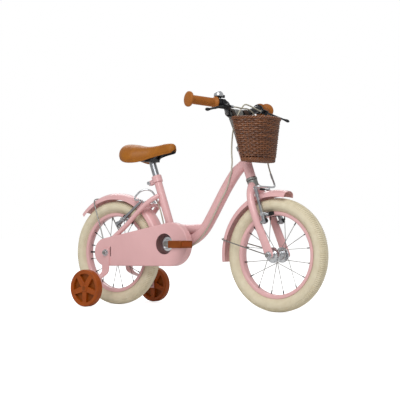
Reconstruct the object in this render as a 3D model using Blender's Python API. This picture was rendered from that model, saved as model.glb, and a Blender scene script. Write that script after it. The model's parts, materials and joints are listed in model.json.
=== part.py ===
# Child's bicycle with a front basket and training wheels.
# Metres, +X forward, +Y to the rider's left, +Z up, ground at Z = 0.
# The bike is laid out from the rear axle at X = 0 and then shifted, so that the origin
# lies on the ground under the middle of its length.

import math

import bmesh
import bpy
from mathutils import Matrix, Vector

# Clearances
TOUCH = 0.0003
RUNNING = 0.0003

# Wheels
WHEELBASE = 0.6374
TYRE_RADIUS = 0.174
TYRE_WIDTH = 0.047
TREAD_HALF = 0.008
RIM_RADIUS = 0.1331
RIM_HALF_WIDTH = 0.0132
RIM_DEPTH = 0.0121
WHEEL_STEPS = 28
SPOKE_COUNT = 16
SPOKE_RADIUS = 0.0013
SPOKE_SINK = 0.0004
SPOKE_END_GAP = 0.0009
SPOKE_LACING = math.radians(38.0)
VALVE_RADIUS = 0.003
VALVE_LENGTH = 0.024
VALVE_ANGLES = {"front": 135, "rear": 180}
HUB_HALF_LENGTH = 0.0425
HUB_SHELL_RADIUS = 0.0125
HUB_FLANGE_RADIUS = 0.024
HUB_FLANGE_INNER = 0.0235
HUB_FLANGE_THICKNESS = 0.0035
AXLE_RADIUS = 0.0048
AXLE_CONE_RADIUS = 0.0085
NUT_HEIGHT = 0.008
NUT_RADIUS = 0.0092
NUT_FLANGE_RADIUS = 0.0112
NUT_FLANGE = 0.0015
AXLE_BEYOND_NUT = 0.003

# Head tube and steering axis
HEAD_TILT = math.radians(20.0)
CROWN_RISE = 0.08296
FORK_RAKE = 0.01013
HEAD_LENGTH = 0.093
HEAD_RADIUS = 0.0155
HEAD_BORE = 0.0137
CUP_RADIUS = 0.0175
CUP_HEIGHT = 0.0085
LOCKNUT_RADIUS = 0.0190
LOCKNUT_HEIGHT = 0.007
STEERER_RADIUS = 0.0127
STEERER_BORE = 0.0115

# Bottom bracket, seat tube and seat post
BRACKET_X = 0.2455
BRACKET_RISE = 0.031
BRACKET_RADIUS = 0.020
BRACKET_BORE = 0.0172
BRACKET_HALF_WIDTH = 0.034
BRACKET_CUP_DEPTH = 0.014
BRACKET_FLANGE = 0.0022
SEAT_TILT = math.radians(20.2)
SEAT_TUBE_LENGTH = 0.2376
SEAT_TUBE_RADIUS = 0.013
SEAT_TUBE_BORE = 0.0114
POST_RADIUS = 0.0111
POST_INSERTION = 0.085
POST_EXPOSED = 0.050
SEAT_CLAMP_RADIUS = 0.0166
SEAT_CLAMP_HEIGHT = 0.022
SEAT_CLAMP_EAR = 0.020

# Frame tubes
DOWN_TUBE_RADIUS = 0.018
DOWN_TUBE_NECK = 0.0148
DOWN_TUBE_TOP = 0.0516
BRACE_RADIUS = 0.015
BRACE_HEIGHT = 0.0573
BRACE_JOINT = 0.671
WEB_THICKNESS = 0.003
STAY_RADIUS = 0.008
STAY_CRIMP = 0.006
STAY_END_Y = 0.052
SEAT_STAY_TOP = 0.170
SEAT_STAY_EAR = (0.022, 0.048)
CHAIN_STAY_EAR = (0.030, 0.007)
BRIDGE_RADIUS = 0.006
BRIDGE_SHARE = 0.765
DROPOUT_THICKNESS = 0.004
DROPOUT_RADIUS = 0.015

# Drive
CHAIN_PITCH = 0.0127
CHAINRING_TEETH = 28
SPROCKET_TEETH = 16
CHAIN_LINE = 0.040
CHAIN_HALF_WIDTH = 0.0038
CHAIN_HALF_HEIGHT = 0.0042
TOOTH_THICKNESS = 0.0022
SPIDER_RADIUS = 0.031
CRANK_LENGTH = 0.102
CRANK_ARM_Y = 0.070
CRANK_ARM_THICK = 0.0055
CRANK_ARM_WIDE = 0.009
CRANK_AXLE_RADIUS = 0.008
PEDAL_EYE_RADIUS = 0.0105
PEDAL_GAP = 0.003
PEDAL_WIDTH = 0.064
PEDAL_LENGTH = 0.050
PEDAL_HEIGHT = 0.023
PEDAL_AXLE_RADIUS = 0.0048
PEDAL_CAP = 0.007
FREEWHEEL_BORE = 0.0176

# Chain guard
GUARD_FACE = 0.0618
GUARD_INNER = 0.036
GUARD_WALL = 0.0016
GUARD_REAR_RADIUS = 0.046
GUARD_FRONT_RADIUS = 0.0700
GUARD_REAR_OFFSET = (-0.006, 0.002)
GUARD_FRONT_OFFSET = (0.0235, -0.001)
GUARD_HOLE_RADIUS = 0.034
GUARD_BOSS_RADIUS = 0.0085
GUARD_NOTCH = 0.002

# Mudguards
FENDER_RADIUS = 0.199
FENDER_EDGE_RADIUS = 0.178
FENDER_HALF_WIDTH = 0.028
FENDER_SHEET = 0.0015
FENDER_WIRE_RADIUS = 0.002
EYELET_RADIUS = 0.0095
EYELET_THICKNESS = 0.002
REAR_FENDER_ANGLES = (137.5, 24.0)
FRONT_FENDER_ANGLES = (77.8, 187.0)
REAR_WIRE_ANGLE = 116.0
FRONT_WIRE_ANGLE = 166.0

# Fork
FORK_END_INNER = 0.044
FORK_END_THICKNESS = 0.006
FORK_LEG_RADIUS = 0.012
FORK_LEG_Y = 0.048
FORK_CROWN_DROP = 0.0213
STEERER_FOOT = 0.030

# Brakes
FRONT_BRAKE_FOOT = 0.102
REAR_BRAKE_FOOT = 0.045
REAR_BRAKE_Y = 0.0494
BOSS_RADIUS = 0.005
FRONT_ARM_OFFSET = 0.0255
REAR_ARM_OFFSET = 0.022
PAD_GAP = 0.0015
PAD_THICKNESS = 0.009
PAD_HALF_LENGTH = 0.020
PAD_HALF_HEIGHT = 0.0045
PAD_DROP = 0.0066
PAD_POST_RADIUS = 0.0035
ARM_THICKNESS = 0.009
ARM_FOOT_RADIUS = 0.0088
ARM_TIP_RADIUS = 0.0055
ARM_LEAN = 0.012
FRONT_ARM_LENGTH = 0.105
REAR_ARM_LENGTH = 0.112
CABLE_RADIUS = 0.0023
CABLE_END_GAP = 0.0007
CABLE_SPACING = 6 * CABLE_RADIUS
CABLE_REST = DOWN_TUBE_RADIUS + CABLE_RADIUS + 3 * TOUCH

# Handlebar, grips, levers and bell
STEM_RISE = 0.2094
STEM_FORWARD = 0.0124
STEM_INSERTION = 0.050
STEM_CLAMP_RADIUS = 0.017
STEM_CLAMP_HALF = 0.020
BAR_RADIUS = 0.0111
GRIP_END_OFFSET = (-0.025, 0.219, 0.031)
GRIP_DIRECTION = (-0.350, 0.935, 0.058)
GRIP_LENGTH = 0.104
GRIP_RADIUS = 0.0134
GRIP_CAP = 0.0055
GRIP_FLANGE_RADIUS = 0.0235
GRIP_INNER_FLANGE_RADIUS = 0.0195
LEVER_CLAMP_AT = -0.024
LEVER_CLAMP_RADIUS = 0.0155
LEVER_DIRECTION = (0.838, 0.339, -0.431)
LEVER_PIVOT_OUT = 0.0275
LEVER_PIVOT_ALONG = 0.004
LEVER_TIP_ALONG = 0.1008
LEVER_TIP_OUT = 0.0563
LEVER_HUB_RADIUS = 0.0055
LEVER_HUB_HALF = 0.0045
LEVER_PIN_RADIUS = 0.002
BARREL_LENGTH = 0.031
BARREL_RADIUS = 0.0042
BARREL_OUT = 0.016
BELL_AT = -0.009
BELL_RADIUS = 0.0148
BELL_WALL = 0.0012
BELL_RISE = 0.0225
BELL_PLATE = 0.002
STRIKER_PIN_RADIUS = 0.0016
STRIKER_REACH = 0.0125
STRIKER_DROP = 0.006

# Basket
BASKET_DROP = 0.013
BASKET_AHEAD = 0.032
BASKET_HEIGHT = 0.141
BASKET_BOTTOM = (0.0285, 0.096, 0.073, 0.024)
BASKET_TOP = (0.0, 0.118, 0.089, 0.032)
BASKET_WALL = 0.005
BASKET_FLOOR = 0.006
BASKET_RIM = 0.003
STRAP_Y = 0.038
STRAP_HALF_WIDTH = 0.008
STRAP_THICKNESS = 0.0016
STRAP_SLACK = 0.0022

# Training wheels
TRAINING_RADIUS = 0.0597
TRAINING_LIFT = 0.0012
TRAINING_HALF_WIDTH = 0.0130
TRAINING_X = 0.016
TRAINING_Y = 0.177
TRAINING_SPOKES = 5
TRAINING_WEB = 0.003
TRAINING_BOLT_RADIUS = 0.0048
TRAINING_HEAD_RADIUS = 0.0085
TRAINING_HEAD = 0.0045
TRAINING_TAB_GAP = 0.002
STRIP_THICKNESS = 0.0035
STRIP_HALF_WIDTH = 0.015

# Saddle
RAIL_RADIUS = 0.0035
RAIL_Y = 0.018
POST_HEAD_RISE = 0.006
POST_HEAD_HALF_HEIGHT = 0.0075
POST_HEAD_HALF_LENGTH = 0.015
SADDLE_GAP = 0.0008

X_AXIS = Vector((1.0, 0.0, 0.0))
Y_AXIS = Vector((0.0, 1.0, 0.0))
Z_AXIS = Vector((0.0, 0.0, 1.0))
HEAD_AXIS = Vector((-math.sin(HEAD_TILT), 0.0, math.cos(HEAD_TILT)))
HEAD_FORWARD = Vector((math.cos(HEAD_TILT), 0.0, math.sin(HEAD_TILT)))
SEAT_AXIS = Vector((-math.sin(SEAT_TILT), 0.0, math.cos(SEAT_TILT)))
SEAT_BACK = Vector((-math.cos(SEAT_TILT), 0.0, -math.sin(SEAT_TILT)))
REAR_AXLE = Vector((0.0, 0.0, TYRE_RADIUS))
FRONT_AXLE = Vector((WHEELBASE, 0.0, TYRE_RADIUS))
BRACKET = REAR_AXLE + Vector((BRACKET_X, 0.0, BRACKET_RISE))
HEAD_BASE = FRONT_AXLE + HEAD_AXIS * (TYRE_RADIUS + CROWN_RISE) - HEAD_FORWARD * FORK_RAKE
BAR_CENTRE = HEAD_BASE + HEAD_AXIS * STEM_RISE + HEAD_FORWARD * STEM_FORWARD
TRAINING_Z = TRAINING_RADIUS + TRAINING_LIFT
DROPOUT_OUTER = STAY_END_Y + DROPOUT_THICKNESS / 2
DROPOUT_INNER = STAY_END_Y - DROPOUT_THICKNESS / 2
FORK_END_OUTER = FORK_END_INNER + FORK_END_THICKNESS
REAR_EYELET = DROPOUT_OUTER + TOUCH + EYELET_THICKNESS
FRONT_EYELET = FORK_END_OUTER + TOUCH + EYELET_THICKNESS

LOOKS = {
    "pink_paint": ((0.70, 0.38, 0.40), 0.35, 0.0),
    "cream_rubber": ((0.68, 0.62, 0.45), 0.8, 0.0),
    "tan_leather": ((0.40, 0.14, 0.03), 0.5, 0.0),
    "brown_plastic": ((0.42, 0.15, 0.02), 0.5, 0.0),
    "black_plastic": ((0.02, 0.02, 0.025), 0.5, 0.0),
    "black_steel": ((0.03, 0.03, 0.03), 0.4, 0.6),
    "bright_steel": ((0.62, 0.62, 0.62), 0.25, 1.0),
    "dull_steel": ((0.35, 0.34, 0.32), 0.45, 1.0),
    "wicker": ((0.17, 0.06, 0.03), 0.7, 0.0),
    "grey_housing": ((0.50, 0.49, 0.42), 0.5, 0.0),
}

# Each body has the body that carries it and a point on the axis of its joint.
BODIES = {
    "frame": (None, Vector((0.0, 0.0, 0.0))),
    "steering": ("frame", HEAD_BASE),
    "seat": ("frame", BRACKET + SEAT_AXIS * SEAT_TUBE_LENGTH),
    "crank": ("frame", BRACKET),
    "freewheel": ("frame", REAR_AXLE),
    "rear_wheel": ("frame", REAR_AXLE),
    "front_wheel": ("steering", FRONT_AXLE),
}


def on_head(along):
    return HEAD_BASE + HEAD_AXIS * along


def on_seat(along):
    return BRACKET + SEAT_AXIS * along


def side_name(side):
    return "left" if side > 0 else "right"


def mirrored(point, side):
    return Vector((point[0], point[1] * side, point[2]))


def wheel_point(radius, angle, y):
    return Vector((radius * math.cos(angle), y, radius * math.sin(angle)))


def flattened(vector):
    return Vector((vector.x, 0.0, vector.z))


# Scene, bodies and materials

def start_scene():
    for item in list(bpy.data.objects):
        bpy.data.objects.remove(item)
    for item in list(bpy.data.meshes):
        bpy.data.meshes.remove(item)


def material(name):
    if name in bpy.data.materials:
        return bpy.data.materials[name]
    colour, roughness, metallic = LOOKS[name]
    look = bpy.data.materials.new(name)
    look.use_nodes = True
    shader = look.node_tree.nodes["Principled BSDF"]
    shader.inputs["Base Color"].default_value = (*colour, 1.0)
    shader.inputs["Roughness"].default_value = roughness
    shader.inputs["Metallic"].default_value = metallic
    look.diffuse_color = (*colour, 1.0)
    return look


def body_empty(body):
    name = "joint_" + body
    if name in bpy.data.objects:
        return bpy.data.objects[name]
    parent, origin = BODIES[body]
    empty = bpy.data.objects.new(name, None)
    bpy.context.scene.collection.objects.link(empty)
    if parent is None:
        empty.location = origin - X_AXIS * (WHEELBASE / 2)
    else:
        empty.parent = body_empty(parent)
        empty.location = origin - BODIES[parent][1]
    return empty


def piece(name, mesh, look, body="frame"):
    mesh.transform(Matrix.Translation(-BODIES[body][1]))
    data = bpy.data.meshes.new(name)
    mesh.to_mesh(data)
    mesh.free()
    data.materials.append(material(look))
    data.shade_smooth()
    data.set_sharp_from_angle(angle=math.radians(38.0))
    item = bpy.data.objects.new(name, data)
    bpy.context.scene.collection.objects.link(item)
    item.parent = body_empty(body)
    return item


# Solids

def outward(mesh):
    bmesh.ops.remove_doubles(mesh, verts=mesh.verts, dist=1e-6)
    bmesh.ops.recalc_face_normals(mesh, faces=mesh.faces)
    if mesh.calc_volume(signed=True) < 0.0:
        bmesh.ops.reverse_faces(mesh, faces=mesh.faces)
    return mesh


def combine(target, tool, operation):
    items = []
    for mesh in (target, tool):
        data = bpy.data.meshes.new("combining")
        mesh.to_mesh(data)
        mesh.free()
        item = bpy.data.objects.new("combining", data)
        bpy.context.scene.collection.objects.link(item)
        items.append(item)
    change = items[0].modifiers.new("combining", "BOOLEAN")
    change.operation = operation
    change.solver = "EXACT"
    change.object = items[1]
    bpy.context.view_layer.update()
    result = bmesh.new()
    result.from_object(items[0], bpy.context.evaluated_depsgraph_get())
    for item in items:
        data = item.data
        bpy.data.objects.remove(item)
        bpy.data.meshes.remove(data)
    bmesh.ops.remove_doubles(result, verts=result.verts, dist=2e-6)
    bmesh.ops.dissolve_degenerate(result, edges=result.edges, dist=2e-6)
    return result


def cut(target, *tools):
    for tool in tools:
        target = combine(target, tool, "DIFFERENCE")
    return target


def weld(target, *tools):
    for tool in tools:
        target = combine(target, tool, "UNION")
    return target


def across(axis):
    helper = Y_AXIS if abs(axis.y) < 0.9 else X_AXIS
    first = helper.cross(axis).normalized()
    return first, axis.cross(first).normalized()


def turned(profile, base, axis, steps):
    # The profile holds (radius, height) points. One that starts on the axis also ends there.
    axis = axis.normalized()
    first, _ = across(axis)
    mesh = bmesh.new()
    points = [mesh.verts.new(base + first * radius + axis * height) for radius, height in profile]
    edges = [mesh.edges.new(pair) for pair in zip(points, points[1:])]
    if profile[0][0] > 0.0:
        edges.append(mesh.edges.new((points[-1], points[0])))
    bmesh.ops.spin(
        mesh, geom=points + edges, cent=base, axis=axis, angle=math.tau, steps=steps, use_merge=True
    )
    return outward(mesh)


def both_ways(half_profile):
    return half_profile + [(radius, -height) for radius, height in half_profile[::-1]]


def rod(start, end, radius, steps):
    length = (end - start).length
    return turned([(0.0, 0.0), (radius, 0.0), (radius, length), (0.0, length)], start, end - start, steps)


def ring(start, end, radius, bore, steps):
    length = (end - start).length
    profile = [(bore, 0.0), (radius, 0.0), (radius, length), (bore, length)]
    return turned(profile, start, end - start, steps)


def cross_rod(centre, start_y, end_y, radius, steps):
    return rod(centre + Y_AXIS * start_y, centre + Y_AXIS * end_y, radius, steps)


def loft(rings, cyclic=False):
    mesh = bmesh.new()
    rows = [[mesh.verts.new(point) for point in points] for points in rings]
    pairs = list(zip(rows, rows[1:]))
    if cyclic:
        pairs.append((rows[-1], rows[0]))
    for lower, upper in pairs:
        for index in range(len(lower)):
            after = (index + 1) % len(lower)
            mesh.faces.new((lower[index], lower[after], upper[after], upper[index]))
    if not cyclic:
        mesh.faces.new(rows[0])
        mesh.faces.new(rows[-1])
    return outward(mesh)


def prism(points, depth):
    return loft([points, [point + depth for point in points]])


def box(centre, half_a, half_b, half_c, axes=(X_AXIS, Y_AXIS, Z_AXIS)):
    base = centre - axes[2] * half_c
    corners = ((-1, -1), (1, -1), (1, 1), (-1, 1))
    points = [base + axes[0] * (half_a * a) + axes[1] * (half_b * b) for a, b in corners]
    return prism(points, axes[2] * (2 * half_c))


def smooth_route(points, steps):
    # A curve through all the points, with the given number of steps in each span.
    points = [Vector(point) for point in points]
    ends = [points[0] * 2 - points[1]] + points + [points[-1] * 2 - points[-2]]
    route = []
    for index in range(1, len(ends) - 2):
        p0, p1, p2, p3 = ends[index - 1:index + 3]
        for step in range(steps):
            t = step / steps
            linear = (p2 - p0) * t
            square = (2 * p0 - 5 * p1 + 4 * p2 - p3) * t * t
            cube = (3 * p1 - p0 - 3 * p2 + p3) * t * t * t
            route.append(0.5 * (2 * p1 + linear + square + cube))
    route.append(points[-1])
    return route


def bowed(start, end, stations, side=1):
    # Each station is (share of the way, rise across the straight line, distance from the middle plane).
    way = flattened(end - start)
    rise = way.cross(Y_AXIS).normalized()
    if rise.z < 0.0:
        rise = -rise
    start = flattened(start)
    return [start + way * share + rise * lift + Y_AXIS * (y * side) for share, lift, y in stations]


def tangents(route):
    result = []
    for index in range(len(route)):
        before = route[max(index - 1, 0)]
        after = route[min(index + 1, len(route) - 1)]
        result.append((after - before).normalized())
    return result


def swept_rings(route, sizes, sides, flat_axis):
    # Each size is (radius across the flat axis, radius along it).
    rings = []
    for point, along, (wide, thick) in zip(route, tangents(route), sizes):
        thick_axis = (flat_axis - along * flat_axis.dot(along)).normalized()
        wide_axis = thick_axis.cross(along)
        angles = [math.tau * (index + 0.5) / sides for index in range(sides)]
        rings.append([point + wide_axis * (wide * math.cos(a)) + thick_axis * (thick * math.sin(a))
                      for a in angles])
    return rings


def tube(route, sizes, sides, flat_axis=Y_AXIS):
    if not isinstance(sizes, list):
        sizes = [(sizes, sizes)] * len(route)
    return loft(swept_rings(route, sizes, sides, flat_axis))


def capsule_outline(first, first_radius, second, second_radius, arc_points):
    # The outline of a band round two circles, as (a, b) pairs, anticlockwise.
    gap = math.hypot(second[0] - first[0], second[1] - first[1])
    heading = math.atan2(second[1] - first[1], second[0] - first[0])
    lean = math.acos((first_radius - second_radius) / gap)
    outline = []
    for centre, radius, start, end in (
        (second, second_radius, heading - lean, heading + lean),
        (first, first_radius, heading + lean, heading - lean + math.tau),
    ):
        for index in range(arc_points):
            angle = start + (end - start) * index / (arc_points - 1)
            outline.append((centre[0] + radius * math.cos(angle), centre[1] + radius * math.sin(angle)))
    return outline


def arm_between(start, start_radius, end, end_radius, depth, arc_points=6):
    # A flat bar with round ends, as thick as the depth vector is long.
    along = (end - start).normalized()
    sideways = depth.normalized().cross(along)
    outline = capsule_outline((0.0, 0.0), start_radius, ((end - start).length, 0.0), end_radius, arc_points)
    return prism([start + along * a + sideways * b for a, b in outline], depth)


def evenly(route, spacing):
    # Points at even distances along a route, ends included.
    lengths = [0.0]
    for before, after in zip(route, route[1:]):
        lengths.append(lengths[-1] + (after - before).length)
    count = max(2, round(lengths[-1] / spacing))
    points = []
    index = 0
    for step in range(count + 1):
        target = lengths[-1] * step / count
        while index < len(route) - 2 and lengths[index + 1] < target:
            index += 1
        share = (target - lengths[index]) / (lengths[index + 1] - lengths[index])
        points.append(route[index].lerp(route[index + 1], share))
    return points


def cable(name, route, body):
    points = evenly(smooth_route(route, 12), CABLE_SPACING)
    curve = bpy.data.curves.new(name, "CURVE")
    curve.dimensions = "3D"
    curve.bevel_depth = CABLE_RADIUS
    curve.bevel_resolution = 2
    curve.use_fill_caps = True
    curve.materials.append(material("grey_housing"))
    spline = curve.splines.new("POLY")
    spline.points.add(len(points) - 1)
    for target, point in zip(spline.points, points):
        target.co = (*(point - BODIES[body][1]), 1.0)
    item = bpy.data.objects.new(name, curve)
    bpy.context.scene.collection.objects.link(item)
    item.parent = body_empty(body)
    return item


# Wheels

def wheel(prefix, centre, body, freewheel_boss):
    half = TYRE_WIDTH / 2
    tyre = [
        (TYRE_RADIUS, TREAD_HALF),
        (TYRE_RADIUS - 0.0065, half - 0.006),
        (TYRE_RADIUS - 0.024, half),
        (RIM_RADIUS + TOUCH, RIM_HALF_WIDTH - 0.0021),
        (RIM_RADIUS - 0.0045, RIM_HALF_WIDTH - 0.0040),
    ]
    piece(prefix + "_tyre", turned(both_ways(tyre), centre, Y_AXIS, WHEEL_STEPS), "cream_rubber", body)
    inner = RIM_RADIUS - RIM_DEPTH
    rim = [
        (RIM_RADIUS - 0.0048, RIM_HALF_WIDTH - 0.0034),
        (RIM_RADIUS, RIM_HALF_WIDTH),
        (inner + 0.0035, RIM_HALF_WIDTH),
        (inner, RIM_HALF_WIDTH - 0.0047),
    ]
    rim = turned(both_ways(rim), centre, Y_AXIS, WHEEL_STEPS)
    valve_way = wheel_point(1.0, math.radians(VALVE_ANGLES[prefix]), 0.0)
    valve_start = centre + valve_way * (inner + 0.002)
    rim = weld(rim, rod(valve_start, valve_start - valve_way * VALVE_LENGTH, VALVE_RADIUS, 8))
    piece(prefix + "_rim", rim, "pink_paint", body)
    piece(prefix + "_hub", hub(centre, inner, freewheel_boss), "bright_steel", body)


def hub(centre, rim_inner, freewheel_boss):
    bore = AXLE_RADIUS + RUNNING
    flange_outer = HUB_FLANGE_INNER + HUB_FLANGE_THICKNESS
    shell = [
        (bore, HUB_HALF_LENGTH),
        (bore + 0.0045, HUB_HALF_LENGTH),
        (bore + 0.0055, flange_outer + 0.004),
        (HUB_FLANGE_RADIUS, flange_outer),
        (HUB_FLANGE_RADIUS, HUB_FLANGE_INNER),
        (HUB_SHELL_RADIUS, HUB_FLANGE_INNER - 0.002),
    ]
    body = turned(both_ways(shell), centre, Y_AXIS, 12)
    if freewheel_boss:
        start = centre - Y_AXIS * (flange_outer - 0.001)
        end = centre - Y_AXIS * (HUB_HALF_LENGTH - 0.0005)
        flat_radius = FREEWHEEL_BORE * math.cos(math.pi / 16)
        body = weld(body, ring(start, end, flat_radius - RUNNING, bore + 0.002, 16))
    for index in range(SPOKE_COUNT):
        body = weld(body, spoke(centre, rim_inner, index))
    return body


def spoke(centre, rim_inner, index):
    # Spokes leave the two faces of each flange in turn, and lean forward on one face and back on the other.
    angle = math.tau * (index + 0.5) / SPOKE_COUNT
    side = 1 if index % 2 else -1
    leads = index % 4 < 2
    face_gap = SPOKE_RADIUS * math.sqrt(0.5) - SPOKE_SINK
    flange_outer = HUB_FLANGE_INNER + HUB_FLANGE_THICKNESS
    y = flange_outer + face_gap if leads else HUB_FLANGE_INNER - face_gap
    turn = SPOKE_LACING if leads else -SPOKE_LACING
    start = centre + wheel_point(HUB_FLANGE_RADIUS - 0.004, angle + turn, side * y)
    flat_radius = rim_inner * math.cos(math.pi / WHEEL_STEPS)
    end = centre + wheel_point(flat_radius - SPOKE_END_GAP, angle, side * 0.002)
    return tube([start, end], SPOKE_RADIUS, 4)


def wheel_axle(name, centre, stop_y, ends, body):
    # The cones fill the space between the hub and the ends that hold the axle.
    left_end, right_end = ends
    cone_inner = HUB_HALF_LENGTH + TOUCH
    profile = [
        (0.0, left_end), (AXLE_RADIUS, left_end), (AXLE_RADIUS, stop_y), (AXLE_CONE_RADIUS, stop_y),
        (AXLE_CONE_RADIUS, cone_inner), (AXLE_RADIUS, cone_inner), (AXLE_RADIUS, -cone_inner),
        (AXLE_CONE_RADIUS, -cone_inner), (AXLE_CONE_RADIUS, -stop_y), (AXLE_RADIUS, -stop_y),
        (AXLE_RADIUS, -right_end), (0.0, -right_end),
    ]
    piece(name, turned(profile, centre, Y_AXIS, 12), "dull_steel", body)


def axle_nut(prefix, centre, side, seat_y, body):
    outward_axis = Y_AXIS * side
    bore = AXLE_RADIUS + TOUCH
    start = centre + outward_axis * seat_y
    flange = ring(start, start + outward_axis * NUT_FLANGE, NUT_FLANGE_RADIUS, bore, 12)
    hexagon = ring(start + outward_axis * (NUT_FLANGE / 2), start + outward_axis * NUT_HEIGHT,
                   NUT_RADIUS, bore - TOUCH / 2, 6)
    nut = cut(weld(flange, hexagon), cross_rod(centre, -side * 0.1, side * 0.1, bore, 12))
    piece(prefix + "_axle_nut_" + side_name(side), nut, "bright_steel", body)


# Frame

def down_tube_route():
    stations = [(0.0, 0.002, 0.0), (0.080, 0.0040, 0.0), (0.147, 0.0036, 0.0), (0.282, -0.0060, 0.0),
                (0.426, -0.0203, 0.0), (0.563, -0.0343, 0.0), (BRACE_JOINT, -0.0432, 0.0),
                (0.757, -0.0438, 0.0), (0.835, -0.0380, 0.0), (0.915, -0.0235, 0.0), (1.0, 0.0, 0.0)]
    return bowed(on_head(DOWN_TUBE_TOP), BRACKET, stations)


def seat_stay_route(side):
    stations = [(0.0, 0.0, STAY_END_Y), (0.19, -0.0018, 0.0495), (0.343, -0.0025, 0.047), (0.54, 0.0, 0.044),
                (0.743, 0.0022, 0.037), (0.874, 0.003, 0.026), (0.985, 0.001, 0.011)]
    foot = REAR_AXLE + X_AXIS * SEAT_STAY_EAR[0] + Z_AXIS * SEAT_STAY_EAR[1]
    return bowed(foot, on_seat(SEAT_STAY_TOP), stations, side)


def chain_stay_route(side):
    stations = [(0.0, 0.0, STAY_END_Y), (0.183, 0.0, 0.0485), (0.367, 0.0, 0.0425), (0.55, -0.001, 0.0355),
                (0.665, 0.0, 0.029), (0.78, 0.0, 0.0225), (0.945, 0.0, 0.0175)]
    foot = REAR_AXLE + X_AXIS * CHAIN_STAY_EAR[0] + Z_AXIS * CHAIN_STAY_EAR[1]
    return bowed(foot, BRACKET, stations, side)


def stay(route):
    sizes = [(STAY_RADIUS, STAY_CRIMP)] + [(STAY_RADIUS, STAY_RADIUS)] * (len(route) - 1)
    return tube(route, sizes, 8)


def dropout(side):
    depth = Y_AXIS * DROPOUT_THICKNESS
    inner = Y_AXIS * (STAY_END_Y * side - DROPOUT_THICKNESS / 2)
    plate = None
    for route in (seat_stay_route(side), chain_stay_route(side)):
        reach = flattened(route[0] + (route[1] - route[0]).normalized() * 0.006)
        ear = arm_between(REAR_AXLE + inner, DROPOUT_RADIUS, reach + inner, STAY_RADIUS - 0.0012, depth, 5)
        plate = ear if plate is None else weld(plate, ear)
    return plate


def brake_boss(foot, direction, offset, side):
    start = mirrored(foot, side)
    return rod(start, start + direction * (offset + ARM_THICKNESS / 2 + 0.003), BOSS_RADIUS, 10)


REAR_STAY_FOOT = flattened(seat_stay_route(1)[0])
REAR_ARM_UP = (on_seat(SEAT_STAY_TOP) - REAR_STAY_FOOT).normalized()
REAR_BOSS_DIRECTION = Vector((-REAR_ARM_UP.z, 0.0, REAR_ARM_UP.x))
REAR_BOSS_FOOT = REAR_STAY_FOOT + REAR_ARM_UP * REAR_BRAKE_FOOT + Y_AXIS * REAR_BRAKE_Y
FRONT_ARM_UP = (on_head(-FORK_CROWN_DROP) - FRONT_AXLE).normalized()
FRONT_BOSS_DIRECTION = Vector((FRONT_ARM_UP.z, 0.0, -FRONT_ARM_UP.x))
FRONT_BOSS_FOOT = FRONT_AXLE + FRONT_ARM_UP * FRONT_BRAKE_FOOT + Y_AXIS * FORK_LEG_Y


def stay_bridge_point():
    return bowed(REAR_STAY_FOOT, on_seat(SEAT_STAY_TOP), [(BRIDGE_SHARE, 0.001, 0.0)])[0]


def frame():
    half = Y_AXIS * BRACKET_HALF_WIDTH
    down_route = down_tube_route()
    down_radii = [DOWN_TUBE_NECK] + [DOWN_TUBE_RADIUS] * (len(down_route) - 1)
    down_sizes = [(radius, radius) for radius in down_radii]
    body = weld(
        rod(on_head(0.0), on_head(HEAD_LENGTH), HEAD_RADIUS, 16),
        tube(down_route, down_sizes, 10),
        rod(BRACKET - half, BRACKET + half, BRACKET_RADIUS, 16),
        rod(on_seat(0.0), on_seat(SEAT_TUBE_LENGTH), SEAT_TUBE_RADIUS, 16),
    )
    brace_stations = [(0.0, 0.0, 0.0), (0.17, -0.003, 0.0), (0.42, -0.0055, 0.0), (0.7, -0.0045, 0.0),
                      (1.0, 0.0, 0.0)]
    brace_route = bowed(down_route[6], on_seat(BRACE_HEIGHT), brace_stations)
    web_outline = [on_seat(BRACE_HEIGHT)] + down_route[6:10] + [BRACKET]
    web_shift = Y_AXIS * (WEB_THICKNESS / 2)
    web = prism([point - web_shift for point in web_outline], web_shift * 2)
    body = weld(body, tube(brace_route, BRACE_RADIUS, 10), web)
    for side in (1, -1):
        body = weld(body, stay(chain_stay_route(side)), stay(seat_stay_route(side)), dropout(side))
        body = weld(body, brake_boss(REAR_BOSS_FOOT, REAR_BOSS_DIRECTION, REAR_ARM_OFFSET, side))
    bridge = stay_bridge_point()
    body = weld(body, cross_rod(bridge, -0.036, 0.036, BRIDGE_RADIUS, 8))
    head_bore = rod(on_head(-0.01), on_head(HEAD_LENGTH + 0.01), HEAD_BORE, 16)
    seat_bore_foot = on_seat(SEAT_TUBE_LENGTH - POST_INSERTION - 0.06)
    seat_bore = rod(seat_bore_foot, on_seat(SEAT_TUBE_LENGTH + 0.01), SEAT_TUBE_BORE, 16)
    shell_bore = rod(BRACKET - half * 1.2, BRACKET + half * 1.2, BRACKET_BORE, 16)
    axle_hole = cross_rod(REAR_AXLE, -0.1, 0.1, AXLE_RADIUS + TOUCH, 12)
    piece("frame", cut(body, head_bore, seat_bore, shell_bore, axle_hole), "pink_paint")


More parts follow.
